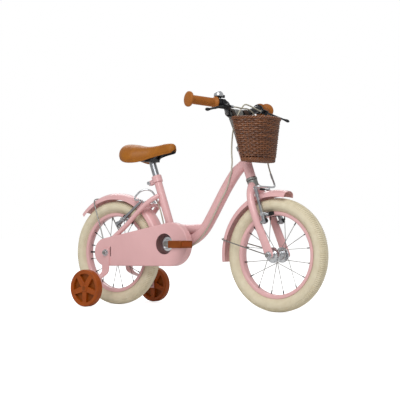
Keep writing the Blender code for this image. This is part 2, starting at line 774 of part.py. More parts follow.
def bearing_cups():
    bore = STEERER_RADIUS + RUNNING
    lower = [(bore, -CUP_HEIGHT), (CUP_RADIUS, -CUP_HEIGHT), (CUP_RADIUS, -0.004),
             (HEAD_RADIUS + 0.0008, -TOUCH), (bore, -TOUCH)]
    locknut_top = CUP_HEIGHT + LOCKNUT_HEIGHT
    rough = bore - 0.001
    upper = [(rough, TOUCH), (HEAD_RADIUS + 0.0008, TOUCH), (CUP_RADIUS, 0.004), (CUP_RADIUS, CUP_HEIGHT),
             (rough, CUP_HEIGHT)]
    piece("headset_lower_cup", turned(lower, on_head(0.0), HEAD_AXIS, 16), "bright_steel")
    cup = turned(upper, on_head(HEAD_LENGTH), HEAD_AXIS, 16)
    locknut_foot = on_head(HEAD_LENGTH + CUP_HEIGHT - 0.001)
    locknut = rod(locknut_foot, on_head(HEAD_LENGTH + locknut_top), LOCKNUT_RADIUS, 8)
    hole = rod(on_head(HEAD_LENGTH - 0.01), on_head(HEAD_LENGTH + locknut_top + 0.01), bore, 16)
    piece("headset_upper_cup", cut(weld(cup, locknut), hole), "bright_steel")
    bore = CRANK_AXLE_RADIUS + RUNNING
    skirt = BRACKET_BORE - TOUCH
    seat = BRACKET_HALF_WIDTH + TOUCH
    profile = [(bore, seat - BRACKET_CUP_DEPTH), (skirt, seat - BRACKET_CUP_DEPTH), (skirt, seat),
               (BRACKET_RADIUS, seat), (BRACKET_RADIUS, seat + BRACKET_FLANGE), (bore, seat + BRACKET_FLANGE)]
    for side in (1, -1):
        cup = turned(profile, BRACKET, Y_AXIS * side, 16)
        piece("bottom_bracket_cup_" + side_name(side), cup, "bright_steel")


def seat_clamp():
    top = SEAT_TUBE_LENGTH - 0.001
    middle = on_seat(top - SEAT_CLAMP_HEIGHT / 2)
    band = ring(on_seat(top - SEAT_CLAMP_HEIGHT), on_seat(top), SEAT_CLAMP_RADIUS,
                SEAT_TUBE_RADIUS + TOUCH, 16)
    ear_middle = middle - SEAT_AXIS * 0.003 + SEAT_BACK * (SEAT_CLAMP_RADIUS - 0.0022 + SEAT_CLAMP_EAR / 2)
    ears = box(ear_middle, SEAT_CLAMP_EAR / 2, 0.007, 0.0075, (SEAT_BACK, Y_AXIS, SEAT_AXIS))
    bolt = cross_rod(ear_middle + SEAT_BACK * 0.0045, -0.0135, 0.0125, 0.0048, 8)
    piece("seat_clamp", weld(band, ears, bolt), "pink_paint")


# Drive

def pitch_radius(teeth):
    return CHAIN_PITCH / (2 * math.sin(math.pi / teeth))


def toothed_disc(teeth, centre):
    radius = pitch_radius(teeth)
    tip = radius + 0.0002
    root = radius - 0.004
    start = centre - Y_AXIS * (CHAIN_LINE + TOOTH_THICKNESS / 2)
    step = math.tau / teeth
    outline = []
    for index in range(teeth):
        angle = step * index
        outline.append(start + wheel_point(root, angle - step * 0.5, 0.0))
        outline.append(start + wheel_point(tip, angle, 0.0))
    return prism(outline, Y_AXIS * TOOTH_THICKNESS)


def chain():
    near = CHAIN_LINE + CHAIN_HALF_WIDTH
    far = CHAIN_LINE - CHAIN_HALF_WIDTH
    slot = TOOTH_THICKNESS / 2 + 0.0008
    height = CHAIN_HALF_HEIGHT
    web = 0.0016
    section = [(-height, far), (height, far), (height, near), (-height, near), (-height, CHAIN_LINE + slot),
               (web, CHAIN_LINE + slot), (web, CHAIN_LINE - slot), (-height, CHAIN_LINE - slot)]
    rings = []
    for offset, y in section:
        outline = capsule_outline(
            (REAR_AXLE.x, REAR_AXLE.z), pitch_radius(SPROCKET_TEETH) + offset,
            (BRACKET.x, BRACKET.z), pitch_radius(CHAINRING_TEETH) + offset, 11,
        )
        rings.append([Vector((x, -y, z)) for x, z in outline])
    piece("chain", loft(rings, cyclic=True), "dull_steel")


def chainring():
    disc = toothed_disc(CHAINRING_TEETH, BRACKET)
    bore = CRANK_AXLE_RADIUS + TOUCH
    face = CHAIN_LINE + TOOTH_THICKNESS / 2
    spider = [(bore, face - 0.0005), (SPIDER_RADIUS, face - 0.0005), (SPIDER_RADIUS, face + 0.0015),
              (SPIDER_RADIUS * 0.84, face + 0.0025), (SPIDER_RADIUS * 0.77, face + 0.005), (bore, face + 0.005)]
    spider = turned(spider, BRACKET, -Y_AXIS, 16)
    return cut(weld(disc, spider), cross_rod(BRACKET, -0.02, -0.1, bore, 16))


def rear_sprocket():
    disc = toothed_disc(SPROCKET_TEETH, REAR_AXLE)
    inner = HUB_FLANGE_INNER + HUB_FLANGE_THICKNESS + 0.006
    body = cross_rod(REAR_AXLE, -inner, -(CHAIN_LINE + 0.0015), FREEWHEEL_BORE + 0.0062, 16)
    return cut(weld(disc, body), cross_rod(REAR_AXLE, -0.02, -0.06, FREEWHEEL_BORE, 16))


def crank():
    # One forged bar: the axle, both arms and the pedal pins.
    thick = CRANK_ARM_THICK
    wide = CRANK_ARM_WIDE
    axle = CRANK_AXLE_RADIUS
    inner = BRACKET_HALF_WIDTH + BRACKET_FLANGE + 0.0105
    bend = [(0.0, inner, axle, axle), (0.002, inner + 0.0095, axle, axle),
            (0.0075, inner + 0.0170, axle, wide * 0.85), (0.0160, CRANK_ARM_Y - 0.0032, thick + 0.001, wide),
            (0.0280, CRANK_ARM_Y, thick, wide), (CRANK_LENGTH, CRANK_ARM_Y, thick, wide)]
    left = [BRACKET + Vector((-x, y, 0.0)) for x, y, _, _ in bend]
    right = [BRACKET + Vector((x, -y, 0.0)) for x, y, _, _ in bend]
    sizes = [(thick_size, wide_size) for _, _, thick_size, wide_size in bend]
    bar = tube(left[::-1] + right, sizes[::-1] + sizes, 10, flat_axis=Z_AXIS)
    for side in (1, -1):
        eye = BRACKET - X_AXIS * (side * CRANK_LENGTH)
        near = CRANK_ARM_Y - CRANK_ARM_THICK
        far = CRANK_ARM_Y + CRANK_ARM_THICK
        pin_end = far + PEDAL_GAP + PEDAL_WIDTH - PEDAL_CAP - TOUCH
        bar = weld(bar, cross_rod(eye, side * near, side * far, PEDAL_EYE_RADIUS, 12),
                   cross_rod(eye, side * CRANK_ARM_Y, side * pin_end, PEDAL_AXLE_RADIUS, 12))
    return bar


def pedal(side, centre):
    half = PEDAL_WIDTH / 2
    body = box(centre, PEDAL_LENGTH / 2, half, PEDAL_HEIGHT / 2)
    slot_half = PEDAL_LENGTH * 0.09
    for end in (1, -1):
        slot_centre = centre + X_AXIS * (end * (PEDAL_AXLE_RADIUS + 0.0042 + slot_half))
        body = cut(body, box(slot_centre, slot_half, half - 0.010, PEDAL_HEIGHT))
    hole = rod(centre - Y_AXIS * (side * (half + 0.01)), centre + Y_AXIS * (side * (half - PEDAL_CAP)),
               PEDAL_AXLE_RADIUS + RUNNING, 12)
    return cut(body, hole)


def guard_ring(inset, y):
    rear = (REAR_AXLE.x + GUARD_REAR_OFFSET[0], REAR_AXLE.z + GUARD_REAR_OFFSET[1])
    front = (BRACKET.x + GUARD_FRONT_OFFSET[0], BRACKET.z + GUARD_FRONT_OFFSET[1])
    outline = capsule_outline(rear, GUARD_REAR_RADIUS - inset, front, GUARD_FRONT_RADIUS - inset, 11)
    return [Vector((x, -y, z)) for x, z in outline]


def chain_guard():
    face = GUARD_FACE
    rings = [guard_ring(0.0, GUARD_INNER), guard_ring(0.0, face - 0.003), guard_ring(0.001, face - 0.0008),
             guard_ring(0.0035, face)]
    cavity = [guard_ring(GUARD_WALL, GUARD_INNER - 0.01), guard_ring(GUARD_WALL, face - 0.0035),
              guard_ring(0.0042, face - GUARD_WALL)]
    shell = cut(loft(rings), loft(cavity))
    boss_inner = REAR_EYELET + TOUCH
    shell = weld(shell, cross_rod(REAR_AXLE, -boss_inner, -(face - GUARD_WALL / 2), GUARD_BOSS_RADIUS, 12))
    crank_hole = cross_rod(BRACKET, -(face - 0.01), -(face + 0.01), GUARD_HOLE_RADIUS, 24)
    axle_hole = cross_rod(REAR_AXLE, -0.02, -(face + 0.01), AXLE_RADIUS + TOUCH, 12)
    slot = box(REAR_AXLE + Vector((0.019, -face, 0.004)), 0.002, 0.006, 0.016)
    stay_route = seat_stay_route(-1)
    before = stay_route[0] - (stay_route[1] - stay_route[0]).normalized() * 0.005
    stay_notch = tube([before] + stay_route[:4], STAY_RADIUS + GUARD_NOTCH, 8)
    wire_route = fender_wire_route(REAR_AXLE, REAR_WIRE_ANGLE, REAR_EYELET)[0]
    wire_notch = tube(wire_route[-4:-1], FENDER_WIRE_RADIUS + GUARD_NOTCH, 8)
    piece("chain_guard", cut(shell, crank_hole, axle_hole, slot, stay_notch, wire_notch), "pink_paint")


def drive():
    piece("chainring", chainring(), "bright_steel", "crank")
    piece("crank", crank(), "bright_steel", "crank")
    piece("rear_sprocket", rear_sprocket(), "dull_steel", "freewheel")
    chain()
    for side in (1, -1):
        body = "pedal_" + side_name(side)
        piece(body, pedal(side, BODIES[body][1]), "brown_plastic", body)


# Mudguards

def fender(centre, angles, steps):
    half = FENDER_HALF_WIDTH
    rise = FENDER_RADIUS - FENDER_EDGE_RADIUS
    shape = [(-1.0, 0.0), (-0.84, 0.62), (-0.36, 0.97), (0.36, 0.97), (0.84, 0.62), (1.0, 0.0)]
    section = [(FENDER_EDGE_RADIUS + rise * lift, half * share) for share, lift in shape]
    thin_rise = rise - FENDER_SHEET
    thin_half = half - FENDER_SHEET
    section += [(FENDER_EDGE_RADIUS + thin_rise * lift, thin_half * share) for share, lift in shape[::-1]]
    start, end = [math.radians(angle) for angle in angles]
    rings = []
    for index in range(steps + 1):
        angle = start + (end - start) * index / steps
        rings.append([centre + wheel_point(radius, angle, y) for radius, y in section])
    return loft(rings)


def fender_wire_route(centre, angle, eyelet_outer):
    # The wire's ends are hammered flat, so that they lie inside the thickness of the eyelets.
    over = FENDER_RADIUS + FENDER_WIRE_RADIUS + TOUCH
    middle = eyelet_outer - EYELET_THICKNESS / 2
    half = FENDER_HALF_WIDTH + FENDER_WIRE_RADIUS + 0.001
    outline = [(EYELET_RADIUS - 0.002, middle), (0.026, middle), (0.036, middle - 0.001),
               (FENDER_EDGE_RADIUS - 0.012, half + 0.003), (FENDER_EDGE_RADIUS + 0.006, half),
               (over - 0.004, half * 0.72), (over, half * 0.3)]
    points = outline + [(radius, -y) for radius, y in outline[::-1]]
    thickness = [EYELET_THICKNESS * 0.4] * 2 + [FENDER_WIRE_RADIUS] * 5
    sizes = [(FENDER_WIRE_RADIUS, thick) for thick in thickness + thickness[::-1]]
    return [centre + wheel_point(radius, math.radians(angle), y) for radius, y in points], sizes


def fender_wire(centre, angle, eyelet_outer):
    route, sizes = fender_wire_route(centre, angle, eyelet_outer)
    wire = tube(route, sizes, 4, flat_axis=Y_AXIS)
    for side in (1, -1):
        eyelet = cross_rod(centre, side * (eyelet_outer - EYELET_THICKNESS), side * eyelet_outer,
                           EYELET_RADIUS, 10)
        wire = weld(wire, eyelet)
    return cut(wire, cross_rod(centre, -0.1, 0.1, AXLE_RADIUS + TOUCH, 12))


def fenders():
    rear = fender(REAR_AXLE, REAR_FENDER_ANGLES, 12)
    bridge = stay_bridge_point()
    toward = (bridge - REAR_AXLE).normalized()
    tab = rod(REAR_AXLE + toward * (FENDER_RADIUS - 2 * FENDER_SHEET), bridge, 0.004, 8)
    tab = cut(tab, cross_rod(bridge, -0.03, 0.03, BRIDGE_RADIUS + TOUCH, 12))
    piece("rear_fender", weld(rear, tab), "pink_paint")
    piece("rear_fender_stay", fender_wire(REAR_AXLE, REAR_WIRE_ANGLE, REAR_EYELET), "bright_steel")
    front = fender(FRONT_AXLE, FRONT_FENDER_ANGLES, 12)
    crown = on_head(-STEERER_FOOT)
    toward = (crown - FRONT_AXLE).normalized()
    tab = rod(FRONT_AXLE + toward * (FENDER_RADIUS - 2 * FENDER_SHEET), crown, 0.005, 8)
    tab = cut(tab, fork_blank(TOUCH))
    piece("front_fender", weld(front, tab), "pink_paint", "steering")
    wire = fender_wire(FRONT_AXLE, FRONT_WIRE_ANGLE, FRONT_EYELET)
    piece("front_fender_stay", wire, "bright_steel", "steering")


# Fork, handlebar, levers, bell and basket

def fork_leg(side, grow):
    half = FORK_END_THICKNESS / 2
    middle = FORK_END_INNER + half
    stations = [(0.0, 0.0, 0.004), (0.055, 0.0, 0.018), (0.146, 0.0, 0.034), (0.268, -0.001, 0.044),
                (0.42, -0.001, FORK_LEG_Y), (0.568, -0.001, FORK_LEG_Y), (0.788, 0.0, FORK_LEG_Y),
                (0.904, 0.0, middle), (1.0, 0.0, middle), (1.036, 0.0, middle)]
    r = FORK_LEG_RADIUS
    shape = [(1.0, r), (1.05, r), (1.05, r), (1.0, r), (1.0, r), (1.0, r), (1.15, r * 0.55), (1.25, half),
             (1.25, half), (0.8, half)]
    sizes = [(r * wide + grow, thick + grow) for wide, thick in shape]
    return tube(bowed(on_head(-FORK_CROWN_DROP), FRONT_AXLE, stations, side), sizes, 8)


def fork_blank(grow):
    race = rod(on_head(-STEERER_FOOT), on_head(-CUP_HEIGHT - 2 * TOUCH), CUP_RADIUS - 0.001 + grow, 16)
    return weld(race, fork_leg(1, grow), fork_leg(-1, grow))


def fork():
    steerer_top = HEAD_LENGTH + CUP_HEIGHT + LOCKNUT_HEIGHT + 0.002
    steerer = rod(on_head(-CUP_HEIGHT - 0.01), on_head(steerer_top), STEERER_RADIUS, 16)
    body = weld(fork_blank(0.0), steerer)
    for side in (1, -1):
        body = weld(body, brake_boss(FRONT_BOSS_FOOT, FRONT_BOSS_DIRECTION, FRONT_ARM_OFFSET, side))
    bore = rod(on_head(-CUP_HEIGHT), on_head(steerer_top + 0.01), STEERER_BORE, 16)
    return cut(body, bore, cross_rod(FRONT_AXLE, -0.08, 0.08, AXLE_RADIUS + TOUCH, 12))


def grip_direction(side):
    return mirrored(GRIP_DIRECTION, side).normalized()


def on_grip(along, side):
    # Zero is the grip's inner end, and the bar goes on inward from there.
    outer = BAR_CENTRE + mirrored(GRIP_END_OFFSET, side)
    return outer + grip_direction(side) * (along - GRIP_LENGTH)


def lever_frame(side):
    along = grip_direction(side)
    reach = mirrored(LEVER_DIRECTION, side)
    reach = (reach - along * reach.dot(along)).normalized()
    return along, reach, along.cross(reach)


def lever_pivot(side):
    along, reach, _ = lever_frame(side)
    return on_grip(LEVER_CLAMP_AT + LEVER_PIVOT_ALONG, side) + reach * LEVER_PIVOT_OUT


def barrel_end(side, beyond=0.0):
    along, reach, _ = lever_frame(side)
    return on_grip(LEVER_CLAMP_AT - BARREL_LENGTH - beyond, side) + reach * BARREL_OUT


def bar_bend():
    bend = [(0.0, STEM_CLAMP_HALF + 0.003, 0.0), (0.006, 0.046, 0.004), (0.0165, 0.068, 0.0135)]
    points = [BAR_CENTRE + Vector(point) for point in bend] + [on_grip(LEVER_CLAMP_AT - 0.012, 1)]
    return smooth_route(points, 2)


def bar_point(y):
    route = bar_bend()
    for lower, upper in zip(route, route[1:]):
        if y <= upper.y:
            return lower.lerp(upper, (y - lower.y) / (upper.y - lower.y))
    return route[-1]


def handlebar():
    left = [BAR_CENTRE] + bar_bend() + [on_grip(LEVER_CLAMP_AT + 0.008, 1)]
    left.append(on_grip(GRIP_LENGTH - GRIP_CAP - TOUCH, 1))
    right = [mirrored(point, -1) for point in left[:0:-1]]
    return tube(right + left, BAR_RADIUS, 10, flat_axis=Z_AXIS)


def grip(side):
    bore = BAR_RADIUS + TOUCH
    body = GRIP_RADIUS
    end = GRIP_LENGTH
    profile = [
        (0.0, end - GRIP_CAP), (bore, end - GRIP_CAP), (bore, 0.0), (GRIP_INNER_FLANGE_RADIUS, 0.0),
        (GRIP_INNER_FLANGE_RADIUS, 0.005), (body + 0.0006, 0.0095), (body, end - 0.016),
        (body + 0.003, end - 0.012), (GRIP_FLANGE_RADIUS, end - 0.009), (GRIP_FLANGE_RADIUS, end - 0.003),
        (GRIP_FLANGE_RADIUS - 0.008, end), (0.0, end),
    ]
    return turned(profile, on_grip(0.0, side), grip_direction(side), 14)


def stem():
    quill = rod(on_head(HEAD_LENGTH - STEM_INSERTION), on_head(STEM_RISE - 0.0045), POST_RADIUS, 16)
    half = Y_AXIS * STEM_CLAMP_HALF
    clamp = rod(BAR_CENTRE - half, BAR_CENTRE + half, STEM_CLAMP_RADIUS, 16)
    bore = rod(BAR_CENTRE - half * 2, BAR_CENTRE + half * 2, BAR_RADIUS + TOUCH, 16)
    return cut(weld(quill, clamp), bore)


def lever_bracket(side):
    along, reach, normal = lever_frame(side)
    axes = (along, reach, normal)
    centre = on_grip(LEVER_CLAMP_AT, side)
    pivot = lever_pivot(side)
    clamp = rod(centre - along * 0.007, centre + along * 0.007, LEVER_CLAMP_RADIUS, 12)
    block = box(centre - along * 0.001 + reach * LEVER_CLAMP_RADIUS, 0.0100, 0.0060, 0.0078, axes)
    pin_half = LEVER_HUB_HALF + TOUCH + 0.0025
    parts = [block, rod(pivot - normal * pin_half, pivot + normal * pin_half, LEVER_PIN_RADIUS, 8)]
    for level in (1, -1):
        spot = pivot - along * 0.001 - reach * 0.001 + normal * (level * (LEVER_HUB_HALF + TOUCH + 0.0015))
        parts.append(box(spot, 0.0060, 0.0068, 0.0015, axes))
    barrel_start = centre - along * 0.008 + reach * BARREL_OUT
    parts.append(rod(barrel_start, barrel_end(side), BARREL_RADIUS, 10))
    bore = rod(centre - along * 0.02, centre + along * 0.02, BAR_RADIUS + TOUCH, 16)
    return cut(weld(clamp, *parts), bore)


def lever(side):
    along, reach, normal = lever_frame(side)
    pivot = lever_pivot(side)
    shares = [(0.02, 0.0), (0.20, 0.10), (0.50, 0.44), (0.80, 0.79), (0.97, 0.965), (1.03, 1.03)]
    route = [pivot + along * (LEVER_TIP_ALONG * a) + reach * (LEVER_TIP_OUT * b) for a, b in shares]
    sizes = [(0.0050, 0.0035), (0.0052, 0.0035), (0.0046, 0.0032), (0.0042, 0.0030), (0.0062, 0.0050),
             (0.0045, 0.0035)]
    blade = tube(route, sizes, 6, flat_axis=normal)
    hub_body = rod(pivot - normal * LEVER_HUB_HALF, pivot + normal * LEVER_HUB_HALF, LEVER_HUB_RADIUS, 12)
    bore = rod(pivot - normal * 0.01, pivot + normal * 0.01, LEVER_PIN_RADIUS + RUNNING, 8)
    return cut(weld(hub_body, blade), bore)


def bell_frame():
    along = grip_direction(-1)
    up = Z_AXIS - along * along.z
    return on_grip(BELL_AT, -1), along, up.normalized()


def striker_pivot():
    foot, _, up = bell_frame()
    return foot + X_AXIS * 0.0075 + up * (BELL_RISE - STRIKER_DROP)


def bell():
    foot, along, up = bell_frame()
    clamp = rod(foot - along * 0.0045, foot + along * 0.0045, BAR_RADIUS + 0.0034, 14)
    post = rod(foot + up * BAR_RADIUS, foot + up * (BELL_RISE - 0.001), BELL_RADIUS * 0.25, 10)
    plate = rod(foot + up * (BELL_RISE - BELL_PLATE), foot + up * BELL_RISE, BELL_RADIUS - 0.0035, 14)
    pivot = striker_pivot()
    pin = rod(pivot - up * 0.0035, pivot + up * (STRIKER_DROP - BELL_PLATE / 2), STRIKER_PIN_RADIUS, 8)
    bore = rod(foot - along * 0.02, foot + along * 0.02, BAR_RADIUS + TOUCH, 16)
    piece("bell_base", cut(weld(clamp, post, plate, pin), bore), "black_plastic", "steering")
    rise = BELL_RISE + TOUCH
    r = BELL_RADIUS
    inner = r - BELL_WALL
    dome = [(0.0, rise + r + 0.001), (r * 0.45, rise + r * 0.90 + 0.001), (r * 0.80, rise + r * 0.62 + 0.001),
            (r, rise + r * 0.20), (r, rise - 0.002), (inner, rise - 0.002), (inner, rise + r * 0.20),
            (inner * 0.78, rise + r * 0.58), (inner * 0.45, rise + r * 0.78), (0.006, rise + r * 0.80),
            (0.006, rise), (0.0, rise)]
    piece("bell_dome", turned(dome, foot, up, 12), "bright_steel", "steering")


def bell_striker():
    _, _, up = bell_frame()
    pivot = striker_pivot()
    out = (X_AXIS - up * X_AXIS.dot(up)).normalized()
    tip = pivot + out * STRIKER_REACH
    arm = arm_between(pivot - up * 0.0010, 0.0034, tip - up * 0.0010, 0.0020, up * 0.0022, 5)
    knob = rod(tip - up * 0.002, tip + up * 0.0065, 0.0030, 10)
    bore = rod(pivot - up * 0.01, pivot + up * 0.01, STRIKER_PIN_RADIUS + RUNNING, 8)
    return cut(weld(arm, knob), bore)


def basket_ring(height, inset):
    # Height 0 is the bottom and 1 the top. The outline is flat at the back with round corners,
    # and a half ellipse at the front.
    lower = BASKET_BOTTOM
    upper = BASKET_TOP
    back, front, half, corner = [low + (top - low) * height for low, top in zip(lower, upper)]
    back += BAR_CENTRE.x + BASKET_AHEAD + inset
    front += BAR_CENTRE.x + BASKET_AHEAD - inset
    half -= inset
    corner -= inset
    z = BAR_CENTRE.z - BASKET_DROP - BASKET_HEIGHT * (1.0 - height)
    widest = back + corner
    points = []
    for index in range(4):
        angle = math.pi + math.pi / 2 * index / 3
        points.append((widest + corner * math.cos(angle), -half + corner + corner * math.sin(angle)))
    for index in range(1, 10):
        angle = -math.pi / 2 + math.pi * index / 10
        points.append((widest + (front - widest) * math.cos(angle), half * math.sin(angle)))
    for index in range(4):
        angle = math.pi / 2 + math.pi / 2 * index / 3
        points.append((widest + corner * math.cos(angle), half - corner + corner * math.sin(angle)))
    return [Vector((x, y, z)) for x, y in points]


def basket():
    floor = BASKET_FLOOR / BASKET_HEIGHT
    rings = [basket_ring(0.0, 0.0), basket_ring(0.06, -0.0015), basket_ring(0.12, 0.0),
             basket_ring(0.88, 0.0),
             basket_ring(0.91, -BASKET_RIM), basket_ring(0.99, -BASKET_RIM), basket_ring(1.0, 0.0),
             basket_ring(1.0, BASKET_WALL), basket_ring(floor, BASKET_WALL)]
    return loft(rings)


def strap(side):
    # A band that loops round the bar and lies flat on the basket's rim.
    wall_x = BAR_CENTRE.x + BASKET_AHEAD - BASKET_RIM - TOUCH
    top = BAR_CENTRE.z - BASKET_DROP - BASKET_HEIGHT * 0.01
    bottom = BAR_CENTRE.z - BASKET_DROP - BASKET_HEIGHT * 0.09
    rings = []
    for end, grow in ((-1, STRAP_THICKNESS), (1, STRAP_THICKNESS), (1, 0.0), (-1, 0.0)):
        y = STRAP_Y + end * STRAP_HALF_WIDTH
        bar = bar_point(y)
        radius = BAR_RADIUS + STRAP_SLACK + grow
        outline = []
        for index in range(11):
            angle = math.radians(34 + 210 * index / 10)
            outline.append(Vector((bar.x + radius * math.cos(angle), y, bar.z + radius * math.sin(angle))))
        x = wall_x - STRAP_THICKNESS + grow
        outline += [Vector((x, y, bottom - grow)), Vector((x, y, top + grow))]
        rings.append([mirrored(point, side) for point in outline])
    return loft(rings, cyclic=True)


def steering_parts():
    piece("fork", fork(), "pink_paint", "steering")
    piece("stem", stem(), "bright_steel", "steering")
    piece("handlebar", handlebar(), "black_steel", "steering")
    piece("basket", basket(), "wicker", "steering")
    bell()
    piece("bell_striker", bell_striker(), "black_plastic", "bell_striker")
    seat = FRONT_EYELET + TOUCH
    end = seat + NUT_HEIGHT + AXLE_BEYOND_NUT
    wheel_axle("front_axle", FRONT_AXLE, FORK_END_INNER - TOUCH, (end, end), "steering")
    for side in (1, -1):
        name = side_name(side)
        piece("grip_" + name, grip(side), "tan_leather", "steering")
        piece("brake_lever_bracket_" + name, lever_bracket(side), "black_plastic", "steering")
        piece("brake_lever_" + name, lever(side), "black_plastic", "lever_" + name)
        piece("basket_strap_" + name, strap(side), "tan_leather", "steering")
        axle_nut("front", FRONT_AXLE, side, seat, "steering")


# Brakes

def brake_arm(side, axle, foot, up, boss, offset, length):
    base = mirrored(foot, side)
    middle = base + boss * offset
    back = middle - boss * (ARM_THICKNESS / 2)
    top = back + up * length - Y_AXIS * (side * ARM_LEAN)
    arm = arm_between(back, ARM_FOOT_RADIUS, top, ARM_TIP_RADIUS, boss * ARM_THICKNESS, 7)
    # The pad's centre lies where the arm's plane meets the circle of the rim's side.
    flat = flattened(middle - axle)
    lead = flat.dot(up)
    pad_radius = RIM_RADIUS - PAD_DROP
    climb = -lead + math.sqrt(lead * lead - flat.length_squared + pad_radius ** 2)
    pad_middle = flattened(middle) + up * climb
    radial = flattened(pad_middle - axle).normalized()
    tangent = radial.cross(Y_AXIS)
    face = RIM_HALF_WIDTH + PAD_GAP
    pad_centre = pad_middle + Y_AXIS * (side * (face + PAD_THICKNESS / 2))
    pad = box(pad_centre, PAD_HALF_LENGTH, PAD_HALF_HEIGHT, PAD_THICKNESS / 2, (tangent, radial, Y_AXIS))
    post_end = abs(base.y) - ARM_FOOT_RADIUS / 3
    post = cross_rod(pad_middle, side * (face + PAD_THICKNESS / 2), side * post_end, PAD_POST_RADIUS, 10)
    bore = rod(base, base + boss * (offset + 0.02), BOSS_RADIUS + RUNNING, 12)
    return cut(weld(arm, post, pad), bore)


def brakes():
    for side in (1, -1):
        name = "front_brake_arm_" + side_name(side)
        arm = brake_arm(side, FRONT_AXLE, FRONT_BOSS_FOOT, FRONT_ARM_UP, FRONT_BOSS_DIRECTION,
                        FRONT_ARM_OFFSET, FRONT_ARM_LENGTH)
        piece(name, arm, "bright_steel", name)
        name = "rear_brake_arm_" + side_name(side)
        arm = brake_arm(side, REAR_AXLE, REAR_BOSS_FOOT, REAR_ARM_UP, REAR_BOSS_DIRECTION,
                        REAR_ARM_OFFSET, REAR_ARM_LENGTH)
        piece(name, arm, "bright_steel", name)


# Rear axle and training wheels

def bracket_seat(side):
    # The chain guard lies between the mudguard's eyelet and the right bracket.
    return (GUARD_FACE if side < 0 else REAR_EYELET) + TOUCH


def training_tab():
    return TRAINING_Y - TRAINING_HALF_WIDTH - TRAINING_TAB_GAP - STRIP_THICKNESS / 2


def training_bracket(side):
    mid = bracket_seat(side) + STRIP_THICKNESS / 2
    tab = training_tab()
    full = STRIP_HALF_WIDTH
    stations = [
        (0.0, mid, REAR_AXLE.z + 0.016, full), (0.0, mid, REAR_AXLE.z, full),
        (0.0, mid, TRAINING_Z + 0.0631, full), (0.003, mid + 0.010, TRAINING_Z + 0.0451, full),
        (TRAINING_X - 0.003, tab - 0.010, TRAINING_Z + 0.0171, full),
        (TRAINING_X, tab, TRAINING_Z + 0.0096, full - 0.001),
        (TRAINING_X, tab, TRAINING_Z - 0.013, full - 0.004),
    ]
    route = [Vector((x, y * side, z)) for x, y, z, _ in stations]
    wides = [wide for _, _, _, wide in stations]
    half = STRIP_THICKNESS / 2
    rings = []
    for point, along, wide in zip(route, tangents(route), wides):
        thick_axis = X_AXIS.cross(along).normalized()
        rings.append([point + X_AXIS * (wide * a) + thick_axis * (half * b)
                      for a, b in ((-1, -1), (1, -1), (1, 1), (-1, 1))])
    strip = loft(rings)
    axle_at = REAR_AXLE + Y_AXIS * (side * mid)
    bolt_at = Vector((TRAINING_X, side * tab, TRAINING_Z))
    return cut(strip, cross_rod(axle_at, -0.01, 0.01, AXLE_RADIUS + TOUCH, 12),
               cross_rod(bolt_at, -0.01, 0.01, TRAINING_BOLT_RADIUS + TOUCH, 12))


def training_bolt(side):
    inner = training_tab() - STRIP_THICKNESS / 2 - TOUCH
    outer = TRAINING_Y + TRAINING_HALF_WIDTH
    r = TRAINING_BOLT_RADIUS
    head = TRAINING_HEAD_RADIUS
    profile = [(0.0, inner - NUT_HEIGHT), (head, inner - NUT_HEIGHT), (head, inner), (r, inner),
               (r, outer - TRAINING_HEAD), (head, outer - TRAINING_HEAD), (head, outer), (0.0, outer)]
    return turned(profile, Vector((TRAINING_X, 0.0, TRAINING_Z)), Y_AXIS * side, 12)


def training_wheel(side, centre):
    half = TRAINING_HALF_WIDTH
    r = TRAINING_RADIUS
    web = TRAINING_WEB / 2
    rim = [(r, half - 0.0050), (r - 0.0045, half), (r - 0.0120, half - 0.0040), (r - 0.0145, web),
           (0.004, web)]
    body = turned(both_ways(rim), centre, Y_AXIS, 18)
    body = weld(body, cross_rod(centre, -half, half, 0.0125, 12))
    spoke_half = half - 0.0028
    for index in range(TRAINING_SPOKES):
        out = wheel_point(1.0, math.tau * (index + 0.75) / TRAINING_SPOKES, 0.0)
        start = centre + out * 0.004 - Y_AXIS * spoke_half
        end = centre + out * (r - 0.018) - Y_AXIS * spoke_half
        body = weld(body, arm_between(start, 0.0095, end, 0.0080, Y_AXIS * (2 * spoke_half), 2))
    bore = cross_rod(centre, -0.03, 0.03, TRAINING_BOLT_RADIUS + RUNNING, 12)
    floor = side * (half - TRAINING_HEAD - TOUCH)
    recess = cross_rod(centre, floor, side * (half + 0.01), TRAINING_HEAD_RADIUS + RUNNING, 12)
    return cut(body, bore, recess)


def rear_parts():
    ends = []
    for side in (1, -1):
        name = side_name(side)
        seat = bracket_seat(side) + STRIP_THICKNESS + TOUCH
        ends.append(seat + NUT_HEIGHT + AXLE_BEYOND_NUT)
        axle_nut("rear", REAR_AXLE, side, seat, "frame")
        piece("training_bracket_" + name, training_bracket(side), "pink_paint")
        piece("training_bolt_" + name, training_bolt(side), "bright_steel")
        body = "training_wheel_" + name
        piece(body, training_wheel(side, BODIES[body][1]), "brown_plastic", body)
    wheel_axle("rear_axle", REAR_AXLE, DROPOUT_INNER - TOUCH, ends, "frame")


# Seat

SADDLE_STATIONS = [
    # distance ahead of the post's top, half width, top and skirt above the post's top
    (-0.1130, 0.026, 0.0450, 0.0260), (-0.1060, 0.044, 0.0550, 0.0150), (-0.0900, 0.059, 0.0610, 0.0050),
    (-0.0680, 0.067, 0.0600, -0.0025), (-0.0420, 0.064, 0.0555, -0.0045), (-0.0180, 0.049, 0.0515, -0.0010),
    (0.0060, 0.0325, 0.0510, 0.0080), (0.0320, 0.0240, 0.0535, 0.0155), (0.0600, 0.0205, 0.0575, 0.0210),
    (0.0835, 0.0170, 0.0575, 0.0250), (0.0935, 0.0090, 0.0520, 0.0330),
]


def post_top():
    return on_seat(SEAT_TUBE_LENGTH + POST_EXPOSED)


